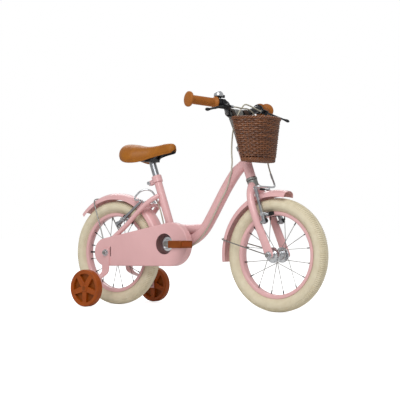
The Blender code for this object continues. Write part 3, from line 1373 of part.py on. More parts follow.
def saddle_loop(half_loop, x):
    left = [(-y, z) for y, z in half_loop[-2:0:-1]]
    return [post_top() + Vector((x, y, z)) for y, z in half_loop + left]


def saddle():
    shape = [(0.0, 1.0), (0.38, 0.965), (0.70, 0.83), (0.92, 0.58), (1.0, 0.30), (0.97, 0.08), (0.90, 0.0),
             (0.82, 0.16), (0.55, 0.46), (0.0, 0.56)]
    rings = []
    for x, half, top, skirt in SADDLE_STATIONS:
        rise = top - skirt
        rings.append(saddle_loop([(half * share, skirt + rise * height) for share, height in shape], x))
    return loft(rings)


def saddle_base():
    shape = [(0.0, 0.55), (0.54, 0.45), (0.72, 0.235), (0.65, 0.20), (0.50, 0.36), (0.0, 0.46)]
    rings = []
    for x, half, top, skirt in SADDLE_STATIONS[1:-1]:
        rise = top - skirt
        loop = [(half * share, skirt + rise * height - SADDLE_GAP) for share, height in shape]
        rings.append(saddle_loop(loop, x))
    base = loft(rings)
    for side in (1, -1):
        base = weld(base, tube(rail_route(side), RAIL_RADIUS, 6))
    return base


def rail_route(side):
    rise = POST_HEAD_RISE
    points = [(-0.086, 0.030, 0.0245), (-0.078, 0.029, 0.0140), (-0.062, 0.024, rise + 0.001),
              (-0.036, RAIL_Y, rise), (-0.013, RAIL_Y, rise), (0.010, RAIL_Y, rise), (0.029, 0.0135, 0.0195),
              (0.052, 0.009, 0.0325)]
    return [post_top() + mirrored(point, side) for point in points]


def seat_post():
    top = post_top()
    post = rod(on_seat(SEAT_TUBE_LENGTH - POST_INSERTION), top + SEAT_AXIS * 0.002, POST_RADIUS, 16)
    head = box(top + Z_AXIS * POST_HEAD_RISE, POST_HEAD_HALF_LENGTH, RAIL_Y + 0.0045, POST_HEAD_HALF_HEIGHT)
    post = weld(post, head)
    for side in (1, -1):
        post = cut(post, tube(rail_route(side), RAIL_RADIUS + 2 * TOUCH, 6))
    return post


# Brake cables

def down_tube_flank(index, angle):
    # A point where a cable lies on the right flank of the down tube, turned down by the angle.
    route = down_tube_route()
    below = tangents(route)[index].cross(Y_AXIS)
    if below.z > 0.0:
        below = -below
    turn = math.radians(angle)
    return route[index] + (below * math.sin(turn) - Y_AXIS * math.cos(turn)) * CABLE_REST


def from_point(origin, offsets):
    return [origin + Vector(offset) for offset in offsets]


def cables():
    # The lead and the front cable count from the foot of the head tube, the rear cable from the bracket.
    lead = [barrel_end(1, CABLE_END_GAP), barrel_end(1, 0.016)]
    lead += from_point(HEAD_BASE, [
        (-0.0310, 0.0200, 0.2320), (-0.0340, 0.0000, 0.2220), (-0.0365, -0.0170, 0.2010),
        (-0.0420, -0.0260, 0.1760), (-0.0500, -0.0270, 0.1480), (-0.0550, -0.0260, 0.1130),
        (-0.0565, -0.0250, 0.0780), (-0.0555, -0.0240, 0.0500), (-0.0585, -0.0228, 0.0300),
    ])
    cable("rear_brake_lead", lead, "steering")
    onward = (lead[-1] - lead[-2]).normalized()
    join = lead[-1] + onward * CABLE_END_GAP
    flank = [down_tube_flank(index, angle) for index, angle in
             ((3, 35), (4, 38), (5, 42), (6, 46), (7, 52), (8, 62), (9, 82))]
    rear = [join, join + onward * 0.014] + flank
    rear += from_point(BRACKET, [
        (0.0125, 0.0040, -0.0270), (-0.0120, 0.0060, -0.0280), (-0.0295, 0.0060, -0.0170),
        (-0.0395, 0.0050, 0.0050), (-0.0460, 0.0040, 0.0350), (-0.0530, 0.0030, 0.0650),
        (-0.0610, 0.0020, 0.0950), (-0.0710, 0.0010, 0.1250), (-0.0805, 0.0000, 0.1430),
        (-0.0875, -0.0020, 0.1600), (-0.0965, -0.0080, 0.1730), (-0.1095, -0.0180, 0.1780),
        (-0.1255, -0.0290, 0.1720), (-0.1375, -0.0330, 0.1610),
    ])
    cable("rear_brake_cable", rear, "frame")
    front = [barrel_end(-1, CABLE_END_GAP), barrel_end(-1, 0.016)]
    front += from_point(HEAD_BASE, [
        (-0.0280, -0.0100, 0.2170), (-0.0290, 0.0240, 0.2180), (-0.0320, 0.0600, 0.2070),
        (-0.0350, 0.0840, 0.1780), (-0.0270, 0.0920, 0.1380), (-0.0070, 0.0900, 0.0880),
        (0.0160, 0.0740, 0.0400), (0.0380, 0.0560, 0.0080), (0.0560, 0.0440, -0.0160),
        (0.0640, 0.0340, -0.0270), (0.0660, 0.0180, -0.0300), (0.0660, -0.0040, -0.0300),
        (0.0660, -0.0340, -0.0300),
    ])
    cable("front_brake_cable", front, "steering")


def add_bodies():
    pedal_y = CRANK_ARM_Y + CRANK_ARM_THICK + PEDAL_GAP + PEDAL_WIDTH / 2
    for side in (1, -1):
        name = side_name(side)
        pedal_centre = BRACKET + Vector((-side * CRANK_LENGTH, side * pedal_y, 0.0))
        BODIES["pedal_" + name] = ("crank", pedal_centre)
        BODIES["training_wheel_" + name] = ("frame", Vector((TRAINING_X, side * TRAINING_Y, TRAINING_Z)))
        BODIES["lever_" + name] = ("steering", lever_pivot(side))
        front = mirrored(FRONT_BOSS_FOOT, side) + FRONT_BOSS_DIRECTION * FRONT_ARM_OFFSET
        rear = mirrored(REAR_BOSS_FOOT, side) + REAR_BOSS_DIRECTION * REAR_ARM_OFFSET
        BODIES["front_brake_arm_" + name] = ("steering", front)
        BODIES["rear_brake_arm_" + name] = ("frame", rear)
    BODIES["bell_striker"] = ("steering", striker_pivot())


def main():
    start_scene()
    add_bodies()
    frame()
    bearing_cups()
    seat_clamp()
    wheel("front", FRONT_AXLE, "front_wheel", False)
    wheel("rear", REAR_AXLE, "rear_wheel", True)
    drive()
    chain_guard()
    fenders()
    steering_parts()
    brakes()
    rear_parts()
    piece("seat_post", seat_post(), "bright_steel", "seat")
    piece("saddle", saddle(), "tan_leather", "seat")
    piece("saddle_base", saddle_base(), "black_plastic", "seat")
    cables()


main()
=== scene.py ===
# Looks of a child's bicycle: pink enamel, cream tyres, tan saddle and grips, wicker basket.
import json
import math

import bmesh
import bpy
from mathutils import Matrix, Vector


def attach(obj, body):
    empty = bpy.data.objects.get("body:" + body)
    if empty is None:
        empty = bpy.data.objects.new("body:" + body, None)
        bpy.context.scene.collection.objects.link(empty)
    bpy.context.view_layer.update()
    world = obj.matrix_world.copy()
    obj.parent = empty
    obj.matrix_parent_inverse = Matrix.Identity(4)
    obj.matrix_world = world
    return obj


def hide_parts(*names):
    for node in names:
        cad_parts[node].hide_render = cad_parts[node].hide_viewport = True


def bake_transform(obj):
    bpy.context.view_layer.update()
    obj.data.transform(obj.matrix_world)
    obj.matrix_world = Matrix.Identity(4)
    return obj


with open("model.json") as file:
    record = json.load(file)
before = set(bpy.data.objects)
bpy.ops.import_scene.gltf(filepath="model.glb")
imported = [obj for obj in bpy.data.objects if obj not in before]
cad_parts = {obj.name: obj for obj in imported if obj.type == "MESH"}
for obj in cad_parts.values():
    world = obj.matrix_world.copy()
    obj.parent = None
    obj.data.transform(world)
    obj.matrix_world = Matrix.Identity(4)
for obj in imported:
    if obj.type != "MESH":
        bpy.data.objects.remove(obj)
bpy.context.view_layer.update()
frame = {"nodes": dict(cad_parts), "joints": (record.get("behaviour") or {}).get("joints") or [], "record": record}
print("frame loaded:", len(frame["nodes"]), "nodes")

mm = 0.001
touch = 0.3 * mm
xAxis = Vector((1.0, 0.0, 0.0))
yAxis = Vector((0.0, 1.0, 0.0))
zAxis = Vector((0.0, 0.0, 1.0))

# Places and directions come from the frame's joints
jointPlace = {}
jointAxis = {}
for joint in frame["joints"]:
    jointPlace[joint["name"]] = Vector(joint.get("pos_m") or (0.0, 0.0, 0.0))
    jointAxis[joint["name"]] = Vector(joint["axis"]).normalized()
rearAxle = jointPlace["rear_wheel_spin"]
frontAxle = jointPlace["front_wheel_spin"]
crankCentre = jointPlace["crank_spin"]
headFoot = jointPlace["steering_turn"]
headAxis = jointAxis["steering_turn"]
headForward = Vector((headAxis.z, 0.0, -headAxis.x))
seatAxis = jointAxis["seat_height"]
seatBack = Vector((-seatAxis.z, 0.0, seatAxis.x))
nodeBody = {}
for body, names in frame["record"]["behaviour"]["bodies"].items():
    for name in names:
        nodeBody[name] = body


def onHead(along):
    return headFoot + headAxis * along


def onSeat(along):
    return crankCentre + seatAxis * along


def sideName(side):
    return "left" if side > 0 else "right"


def mirrored(point, side):
    return Vector((point[0], point[1] * side, point[2]))


def reflected(points):
    # the same points on the other side, last one first
    return [mirrored(point, -1) for point in reversed(points)]


def wheelPoint(radius, angle, y=0.0):
    return Vector((radius * math.cos(angle), y, radius * math.sin(angle)))


def flattened(vector):
    return Vector((vector[0], 0.0, vector[2]))


# Paths

def smoothPath(points, steps):
    # a curve through all the points
    points = [Vector(point) for point in points]
    ends = [points[0] * 2 - points[1]] + points + [points[-1] * 2 - points[-2]]
    path = []
    for index in range(1, len(ends) - 2):
        p0, p1, p2, p3 = ends[index - 1:index + 3]
        for step in range(steps):
            t = step / steps
            square = (2 * p0 - 5 * p1 + 4 * p2 - p3) * t * t
            cube = (3 * p1 - p0 - 3 * p2 + p3) * t * t * t
            path.append(0.5 * (2 * p1 + (p2 - p0) * t + square + cube))
    path.append(points[-1])
    return path


def evenPairs(pairs, steps):
    # a smooth curve through pairs of numbers
    path = smoothPath([(a, b, 0.0) for a, b in pairs], steps)
    return [(point.x, point.y) for point in path]


def scaledPairs(pairs):
    # pairs in millimetres, turned into metres
    return [(a * mm, b * mm) for a, b in pairs]


def bothSides(pairs):
    # an outline of one half, carried on over the middle plane
    return pairs + [(a, -b) for a, b in reversed(pairs) if b > 0.0]


def loopLength(points):
    return sum((b - a).length for a, b in zip(points, points[1:] + points[:1]))


def evenLoop(points, count):
    # as many points as asked, evenly spaced round a closed outline
    total = loopLength(points)
    result = []
    walked = 0.0
    for a, b in zip(points, points[1:] + points[:1]):
        length = (b - a).length
        while len(result) < count and len(result) * total / count <= walked + length:
            result.append(a.lerp(b, (len(result) * total / count - walked) / max(length, 1e-9)))
        walked += length
    return result


def bowed(start, end, stations, side=1):
    # each station is (share of the way, rise across the straight line, distance from the middle plane)
    way = flattened(end - start)
    rise = way.cross(yAxis).normalized()
    if rise.z < 0.0:
        rise = -rise
    start = flattened(start)
    return [start + way * share + rise * lift + yAxis * (y * side) for share, lift, y in stations]


def directions(path, closed=False):
    result = []
    last = len(path) - 1
    for index in range(len(path)):
        before = path[index - 1 if index or closed else 0]
        after = path[(index + 1) % len(path) if closed else min(index + 1, last)]
        result.append((after - before).normalized())
    return result


def crossAxes(axis):
    helper = yAxis if abs(axis.y) < 0.9 else xAxis
    first = helper.cross(axis).normalized()
    return first, axis.cross(first).normalized()


# Shapes

def newShape():
    return bmesh.new()


def stationMatrix(point, along, flat, wide, thick):
    thickAxis = (flat - along * flat.dot(along)).normalized()
    wideAxis = thickAxis.cross(along)
    turn = Matrix((wideAxis, thickAxis, along)).transposed().to_4x4()
    return Matrix.Translation(point) @ turn @ Matrix.Diagonal((wide, thick, 1.0, 1.0))


def extrudeRim(shape, edges):
    # gives the new vertices and the edges between them
    made = bmesh.ops.extrude_edge_only(shape, edges=edges)["geom"]
    fresh = [item for item in made if isinstance(item, bmesh.types.BMVert)]
    known = set(fresh)
    rim = [item for item in made if isinstance(item, bmesh.types.BMEdge) and set(item.verts) <= known]
    return fresh, rim


def sweep(path, sizes, sides=20, flat=yAxis, closed=False):
    # a tube along a path; each size is one radius, or (radius across the flat axis, radius along it)
    if not isinstance(sizes, list):
        sizes = [sizes] * len(path)
    sizes = [size if isinstance(size, tuple) else (size, size) for size in sizes]
    spots = [stationMatrix(point, along, flat, *size)
             for point, along, size in zip(path, directions(path, closed), sizes)]
    if closed:
        spots.append(spots[0])
    shape = newShape()
    bmesh.ops.create_circle(shape, cap_ends=not closed, segments=sides, radius=1.0, matrix=spots[0])
    rim = list(shape.edges)
    for before, after in zip(spots, spots[1:]):
        fresh, rim = extrudeRim(shape, rim)
        bmesh.ops.transform(shape, matrix=after @ before.inverted(), verts=fresh)
    if not closed:
        bmesh.ops.contextual_create(shape, geom=rim)
    return shape


def spinShape(profile, centre, axis, steps=64, closed=True):
    # the profile holds (radius, height) pairs; one that is closed runs back to its first point
    axis = axis.normalized()
    first, _ = crossAxes(axis)
    shape = newShape()
    points = [shape.verts.new(centre + first * radius + axis * height) for radius, height in profile]
    edges = [shape.edges.new(pair) for pair in zip(points, points[1:])]
    if closed:
        edges.append(shape.edges.new((points[-1], points[0])))
    bmesh.ops.spin(shape, geom=points + edges, cent=centre, axis=axis, angle=math.tau, steps=steps,
                   use_merge=True)
    return shape


def ringShape(centre, axis, inner, outer, low, high, steps=48):
    return spinShape([(inner, low), (outer, low), (outer, high), (inner, high)], centre, axis, steps)


def rodShape(start, end, radius, sides=32):
    length = (end - start).length
    profile = [(0.0, 0.0), (radius, 0.0), (radius, length), (0.0, length)]
    return spinShape(profile, start, end - start, sides, closed=False)


def crossRod(centre, low, high, radius, sides=32):
    # a rod that lies across the bike
    return rodShape(centre + yAxis * low, centre + yAxis * high, radius, sides)


def prismShape(outline, depth):
    # a plate: the outline's face pushed along the depth vector
    shape = newShape()
    points = [shape.verts.new(point) for point in outline]
    face = shape.faces.new(points)
    made = bmesh.ops.extrude_face_region(shape, geom=[face])["geom"]
    moved = [item for item in made if isinstance(item, bmesh.types.BMVert)]
    bmesh.ops.translate(shape, vec=depth, verts=moved)
    return shape


def boxShape(centre, halves, axes=(xAxis, yAxis, zAxis)):
    turn = Matrix(axes).transposed().to_4x4()
    size = Matrix.Diagonal((halves[0] * 2, halves[1] * 2, halves[2] * 2, 1.0))
    shape = newShape()
    bmesh.ops.create_cube(shape, size=1.0, matrix=Matrix.Translation(centre) @ turn @ size)
    return shape


def capsuleOutline(first, firstRadius, second, secondRadius, count):
    # the outline of a band round two circles, as (a, b) pairs, anticlockwise
    gap = math.hypot(second[0] - first[0], second[1] - first[1])
    heading = math.atan2(second[1] - first[1], second[0] - first[0])
    lean = math.acos((firstRadius - secondRadius) / gap)
    outline = []
    for centre, radius, start, end in ((second, secondRadius, heading - lean, heading + lean),
                                       (first, firstRadius, heading + lean, heading - lean + math.tau)):
        for index in range(count):
            angle = start + (end - start) * index / (count - 1)
            outline.append((centre[0] + radius * math.cos(angle), centre[1] + radius * math.sin(angle)))
    return outline


def barShape(start, startRadius, end, endRadius, depth, count=14):
    # a flat bar with round ends, as thick as the depth vector is long
    along = (end - start).normalized()
    sideways = depth.normalized().cross(along)
    outline = capsuleOutline((0.0, 0.0), startRadius, ((end - start).length, 0.0), endRadius, count)
    return prismShape([start + along * a + sideways * b for a, b in outline], depth)


def join(*shapes):
    result = newShape()
    for shape in shapes:
        data = bpy.data.meshes.new("joining")
        shape.to_mesh(data)
        shape.free()
        result.from_mesh(data)
        bpy.data.meshes.remove(data)
    return result


def weldBead(start, direction, radius, otherPoint, otherAxis, otherRadius, bead=1.5 * mm):
    # the ring of weld where a tube's wall meets another tube
    direction = direction.normalized()
    otherAxis = otherAxis.normalized()
    first, second = crossAxes(direction)
    leading = direction - otherAxis * direction.dot(otherAxis)
    path = []
    for index in range(36):
        angle = math.tau * index / 36
        foot = start + (first * math.cos(angle) + second * math.sin(angle)) * radius
        gap = foot - otherPoint
        gap -= otherAxis * gap.dot(otherAxis)
        a = leading.length_squared
        b = gap.dot(leading)
        c = gap.length_squared - otherRadius ** 2
        path.append(foot + direction * ((-b + math.sqrt(max(b * b - a * c, 0.0))) / a))
    return sweep(path, bead, 8, direction, closed=True)


def tidyShape(shape):
    bmesh.ops.remove_doubles(shape, verts=shape.verts, dist=0.005 * mm)
    bmesh.ops.recalc_face_normals(shape, faces=shape.faces)


def addPiece(name, shape, look, slot, node, **settings):
    tidyShape(shape)
    data = bpy.data.meshes.new(name)
    shape.to_mesh(data)
    shape.free()
    return placePiece(name, data, look, slot, node, **settings)


def placePiece(name, data, look, slot, *nodes, bevel=0.0, segments=2, rounds=0, sharp=35.0, rides=True):
    # a piece goes with the body of the node that it stands for
    body = nodeBody[nodes[0]]
    data.materials.clear()
    data.materials.append(looks[look])
    data.shade_smooth()
    data.set_sharp_from_angle(angle=math.radians(sharp))
    piece = bpy.data.objects.new(name, data)
    bpy.context.scene.collection.objects.link(piece)
    if bevel:
        soft = piece.modifiers.new("soft edges", "BEVEL")
        soft.width = bevel
        soft.segments = segments
        soft.limit_method = "ANGLE"
        soft.angle_limit = math.radians(32.0)
    if rounds:
        smooth = piece.modifiers.new("rounding", "SUBSURF")
        smooth.levels = rounds
        smooth.render_levels = rounds
    if rides:
        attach(piece, body)
    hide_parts(*nodes)
    return piece


def addWire(name, paths, radius, look, slot, node, sides=8, closed=False, rides=True):
    # round wire along one or more paths
    curve = bpy.data.curves.new(name, "CURVE")
    curve.dimensions = "3D"
    curve.bevel_depth = radius
    curve.bevel_resolution = sides // 2 - 2
    curve.use_fill_caps = True
    for path in paths:
        line = curve.splines.new("POLY")
        line.points.add(len(path) - 1)
        line.use_cyclic_u = closed
        for index, point in enumerate(path):
            line.points[index].co = (*point, 1.0)
    holder = bpy.data.objects.new(name + "Curve", curve)
    bpy.context.scene.collection.objects.link(holder)
    bpy.context.view_layer.update()
    data = bpy.data.meshes.new_from_object(holder.evaluated_get(bpy.context.evaluated_depsgraph_get()))
    bpy.data.objects.remove(holder)
    bpy.data.curves.remove(curve)
    data.name = name
    return placePiece(name, data, look, slot, node, rides=rides)


def cutShape(shape, *tools):
    # takes the tools' shapes out of a closed shape
    items = []
    for part in (shape, *tools):
        tidyShape(part)
        data = bpy.data.meshes.new("cutting")
        part.to_mesh(data)
        part.free()
        item = bpy.data.objects.new("cutting", data)
        bpy.context.scene.collection.objects.link(item)
        items.append(item)
    for tool in items[1:]:
        change = items[0].modifiers.new("cut", "BOOLEAN")
        change.operation = "DIFFERENCE"
        change.solver = "EXACT"
        change.object = tool
    bpy.context.view_layer.update()
    result = newShape()
    result.from_object(items[0], bpy.context.evaluated_depsgraph_get())
    for item in items:
        data = item.data
        bpy.data.objects.remove(item)
        bpy.data.meshes.remove(data)
    return result


# Materials

def linear(code):
    # an sRGB hex value as linear colour
    values = [int(code[index:index + 2], 16) / 255 for index in (0, 2, 4)]
    return tuple([v / 12.92 if v <= 0.04045 else ((v + 0.055) / 1.055) ** 2.4 for v in values] + [1.0])


def addNode(tree, kind, values=None, links=None, **settings):
    node = tree.nodes.new(kind)
    for key, value in settings.items():
        setattr(node, key, value)
    for key, value in (values or {}).items():
        node.inputs[key].default_value = value
    for key, source in (links or {}).items():
        tree.links.new(source, node.inputs[key])
    return node


def newLook(name, roughness, metallic=0.0, **sockets):
    look = bpy.data.materials.new(name)
    look.use_nodes = True
    tree = look.node_tree
    shader = tree.nodes["Principled BSDF"]
    shader.inputs["Roughness"].default_value = roughness
    shader.inputs["Metallic"].default_value = metallic
    for key, value in sockets.items():
        shader.inputs[key.replace("_", " ")].default_value = value
    place = addNode(tree, "ShaderNodeTexCoord").outputs["Object"]
    return look, tree, shader, place


def blendColours(tree, factor, low, high):
    ramp = addNode(tree, "ShaderNodeValToRGB", links={"Fac": factor})
    ramp.color_ramp.elements[0].position = 0.3
    ramp.color_ramp.elements[0].color = linear(low)
    ramp.color_ramp.elements[1].position = 0.7
    ramp.color_ramp.elements[1].color = linear(high)
    return ramp.outputs["Color"]


def addBump(tree, shader, height, strength, depth):
    bump = addNode(tree, "ShaderNodeBump", {"Strength": strength, "Distance": depth}, {"Height": height})
    tree.links.new(bump.outputs["Normal"], shader.inputs["Normal"])
    return bump


def noiseAt(tree, place, size, detail=2.0, rough=0.5):
    # size is the width of one blotch or grain in metres
    return addNode(tree, "ShaderNodeTexNoise", {"Scale": 1.0 / size, "Detail": detail, "Roughness": rough},
                   {"Vector": place}).outputs["Fac"]


def enamelLook(name, low, high, roughness, coat):
    # powder coat enamel: even colour under a clear gloss, with a faint orange peel 1.5 mm wide
    look, tree, shader, place = newLook(name, roughness, Coat_Weight=coat, Coat_Roughness=0.12)
    tree.links.new(blendColours(tree, noiseAt(tree, place, 90 * mm), low, high), shader.inputs["Base Color"])
    addBump(tree, shader, noiseAt(tree, place, 1.5 * mm), 0.12, 0.05 * mm)
    return look


def rubberLook(name, low, high, roughness):
    # cured rubber: dull, slightly dusty in patches 25 mm wide, with a fine moulded grain
    look, tree, shader, place = newLook(name, roughness, Specular_IOR_Level=0.35)
    dust = noiseAt(tree, place, 25 * mm, 6.0, 0.6)
    tree.links.new(blendColours(tree, dust, low, high), shader.inputs["Base Color"])
    addBump(tree, shader, noiseAt(tree, place, 0.7 * mm, 3.0), 0.25, 0.08 * mm)
    return look


def leatherLook(name, low, high, roughness, coat):
    # finished leather: pebbled grain about 1.1 mm wide, darker in its creases, softly waxed
    look, tree, shader, place = newLook(name, roughness, Coat_Weight=coat, Coat_Roughness=0.35,
                                        Specular_IOR_Level=0.28)
    cells = addNode(tree, "ShaderNodeTexVoronoi", {"Scale": 1.0 / (1.1 * mm), "Randomness": 0.9},
                    {"Vector": place}, feature="DISTANCE_TO_EDGE").outputs["Distance"]
    tone = noiseAt(tree, place, 22 * mm, 5.0, 0.6)
    tree.links.new(blendColours(tree, tone, low, high), shader.inputs["Base Color"])
    addBump(tree, shader, cells, 0.3, 0.18 * mm)
    return look


def plasticLook(name, low, high, roughness, grain):
    # injection moulded ABS or polypropylene: even colour with a spark-eroded grain
    look, tree, shader, place = newLook(name, roughness, Specular_IOR_Level=0.28)
    tree.links.new(blendColours(tree, noiseAt(tree, place, 30 * mm, 3.0), low, high),
                   shader.inputs["Base Color"])
    addBump(tree, shader, noiseAt(tree, place, grain, 2.0), 0.2, 0.05 * mm)
    return look


def metalLook(name, low, high, roughness, grain):
    # plated steel: mirror-like or dull, with a worn cloudiness in its shine
    look, tree, shader, place = newLook(name, roughness, 1.0)
    cloud = noiseAt(tree, place, 12 * mm, 4.0)
    tree.links.new(blendColours(tree, cloud, low, high), shader.inputs["Base Color"])
    spread = addNode(tree, "ShaderNodeMapRange", {"To Min": roughness * 0.75, "To Max": roughness * 1.4},
                     {"Value": cloud}).outputs["Result"]
    tree.links.new(spread, shader.inputs["Roughness"])
    addBump(tree, shader, noiseAt(tree, place, grain, 2.0), 0.08, 0.03 * mm)
    return look


def wickerLook():
    # peeled willow stained dark brown: streaked fibres, lighter where the stain has rubbed off
    look, tree, shader, place = newLook("stainedWillow", 0.42, Coat_Weight=0.15, Coat_Roughness=0.3)
    rows = addNode(tree, "ShaderNodeMapping", {"Scale": (14.0, 14.0, 210.0)}, {"Vector": place})
    tone = addNode(tree, "ShaderNodeTexNoise", {"Scale": 1.0, "Detail": 5.0, "Roughness": 0.65},
                   {"Vector": rows.outputs["Vector"]}).outputs["Fac"]
    tree.links.new(blendColours(tree, tone, "3c1a0a", "8c552d"), shader.inputs["Base Color"])
    addBump(tree, shader, noiseAt(tree, place, 0.6 * mm, 3.0), 0.35, 0.12 * mm)
    return look


looks = {
    "pink": enamelLook("pinkEnamel", "dfaeae", "e6b5b5", 0.32, 0.35),
    "cream": rubberLook("creamRubber", "d3c7aa", "e0d6bc", 0.72),
    "saddle": leatherLook("tanLeather", "965711", "a96816", 0.5, 0.06),
    "grip": leatherLook("gripLeather", "97571a", "a76423", 0.55, 0.05),
    "strap": leatherLook("strapLeather", "2b1a10", "3a2415", 0.55, 0.1),
    "brown": plasticLook("brownPolypropylene", "934101", "9f4a02", 0.45, 0.6 * mm),
    # dark brown pedal plastic, also used as painted shade on the training wheels' webs between their spokes
    "darkBrown": plasticLook("pedalBrownAndPaintedShade", "7a3800", "8c4602", 0.55, 0.6 * mm),
    "blackPlastic": plasticLook("blackNylon", "17171a", "1f1f22", 0.5, 0.5 * mm),
    "blackEnamel": enamelLook("blackEnamel", "18181b", "202024", 0.34, 0.25),
    "chrome": metalLook("chromePlate", "c4c6c9", "d6d8da", 0.2, 1.2 * mm),
    "satin": metalLook("satinChrome", "9fa2a6", "b0b3b7", 0.3, 1.0 * mm),
    "zinc": metalLook("zincPlate", "8d8c88", "a3a29e", 0.38, 0.8 * mm),
    "steel": metalLook("darkSteel", "4c4b49", "5f5e5b", 0.42, 0.8 * mm),
    "wicker": wickerLook(),
    "housing": plasticLook("cableHousing", "b3ae9c", "c4bfad", 0.45, 0.5 * mm),
    "padRubber": rubberLook("brakeRubber", "1b1b1c", "262627", 0.8),
}
slotLook = {
    "pink_paint": "pink", "cream_rubber": "cream", "tan_leather": "saddle", "brown_plastic": "brown",
    "black_plastic": "blackPlastic", "black_steel": "blackEnamel", "bright_steel": "chrome",
    "dull_steel": "steel", "wicker": "wicker", "grey_housing": "housing",
}
for entry in frame["record"]["subparts"]:
    node = frame["nodes"][entry["node"]]
    look = looks[slotLook[entry["material_slot"]]]
    if node.data.materials:
        node.data.materials[0] = look
    else:
        node.data.materials.append(look)
print("materials made:", len(looks))

# Wheels

wheel = {
    # outlines are (radius, distance from the middle plane), all in millimetres
    "tyre": [(174.0, 3.0), (173.4, 8.5), (170.6, 15.0), (165.0, 19.8), (157.5, 22.8), (149.5, 23.5),
             (142.0, 20.2), (136.5, 14.6), (133.4, 11.1), (128.6, 9.2)],
    "treadBlocks": 168, "treadDepth": 2.0, "treadFrom": 163.0, "groove": (5.0, 21.0), "grooveShare": 0.45,
    "rim": [(128.3, 9.8), (133.1, 11.0), (133.1, 13.2), (124.5, 13.2), (122.0, 11.2), (121.0, 8.5),
            (121.0, 0.0)],
    "hub": [(6.5, 0.0), (12.5, 0.0), (12.5, 19.0), (14.5, 22.6), (24.0, 23.3), (24.0, 26.8), (15.0, 27.2),
            (10.6, 31.0), (9.8, 42.4), (5.4, 42.5)],
    "freewheelRing": [(17.4, -27.3), (17.4, -32.6), (14.6, -32.6), (14.6, -27.3)],
    # spokes lead and trail by turns: how far out each kind leaves its flange, and where its head sits
    "spokes": 16, "wire": 1.0, "lean": 38.0, "flangeRadius": 20.0, "flanges": (27.5, 23.0),
    "heads": (22.5, 27.6), "spokeEnd": (120.5, 2.0), "nipple": 1.9, "nippleLong": 11.0,
    "valve": [(122.0, 2.9), (110.0, 2.6), (109.0, 3.0), (103.0, 3.0), (102.0, 2.4), (99.0, 2.2)],
    "valveAngles": {"front": 135, "rear": 180},
}


def tyreShape(axle):
    outer = evenPairs(scaledPairs(wheel["tyre"]), 4)
    shape = spinShape(bothSides(outer), axle, yAxis, wheel["treadBlocks"] * 4)
    # the tread: cross grooves on both shoulders, half a block apart, with a rib left in the middle
    near, far = wheel["groove"]
    for vert in shape.verts:
        spot = vert.co - axle
        turn = math.atan2(spot.z, spot.x) / math.tau * wheel["treadBlocks"]
        offset = 0.5 if spot.y > 0.0 else 0.0
        cutHere = (turn + offset) % 1.0 < wheel["grooveShare"] and near < abs(spot.y) / mm < far
        if cutHere and math.hypot(spot.x, spot.z) >= wheel["treadFrom"] * mm:
            vert.co -= flattened(spot).normalized() * wheel["treadDepth"] * mm
            vert.co.y -= math.copysign(0.5 * mm, spot.y)
    return shape


def spokeWires(axle):
    wires = []
    nipples = []
    for index in range(wheel["spokes"]):
        side = 1 if index % 2 else -1
        kind = 0 if index % 4 < 2 else 1
        angle = math.tau * (index + 0.5) / wheel["spokes"]
        lean = math.radians(-wheel["lean"] if kind else wheel["lean"])
        flange = side * wheel["flanges"][kind] * mm
        start = axle + wheelPoint(wheel["flangeRadius"] * mm, angle + lean, flange)
        end = axle + wheelPoint(wheel["spokeEnd"][0] * mm, angle, side * wheel["spokeEnd"][1] * mm)
        head = Vector((start.x, side * wheel["heads"][kind] * mm, start.z))
        wires.append(smoothPath([head, start, start.lerp(end, 0.08), end], 3))
        way = (end - start).normalized()
        nipples.append([end - way * wheel["nippleLong"] * mm, end - way * 3.0 * mm, end])
    return wires, nipples


for name, axle in (("front", frontAxle), ("rear", rearAxle)):
    addPiece(name + "TyreRubber", tyreShape(axle), "cream", "cream_rubber", name + "_tyre", sharp=24.0)
    shape = spinShape(bothSides(scaledPairs(wheel["rim"])), axle, yAxis, 144)
    addPiece(name + "RimBand", shape, "pink", "pink_paint", name + "_rim", bevel=0.8 * mm)
    shape = spinShape(bothSides(scaledPairs(wheel["hub"]))[:-1], axle, yAxis, 48)
    addPiece(name + "HubShell", shape, "chrome", "bright_steel", name + "_hub", bevel=0.5 * mm)
    wires, nipples = spokeWires(axle)
    addWire(name + "Spokes", wires, wheel["wire"] * mm, "zinc", "bright_steel", name + "_hub")
    addWire(name + "Nipples", nipples, wheel["nipple"] * mm, "steel", "bright_steel", name + "_hub")
    if name == "rear":
        shape = spinShape(scaledPairs(wheel["freewheelRing"]), axle, yAxis, 48)
        addPiece("freewheelRing", shape, "steel", "bright_steel", "rear_hub")
    angle = math.radians(wheel["valveAngles"][name])
    path = [axle + wheelPoint(radius * mm, angle) for radius, _ in wheel["valve"]]
    shape = sweep(path, [wide * mm for _, wide in wheel["valve"]], 16)
    addPiece(name + "Valve", shape, "padRubber", "pink_paint", name + "_rim")
print("wheels made")

# Frame tubes

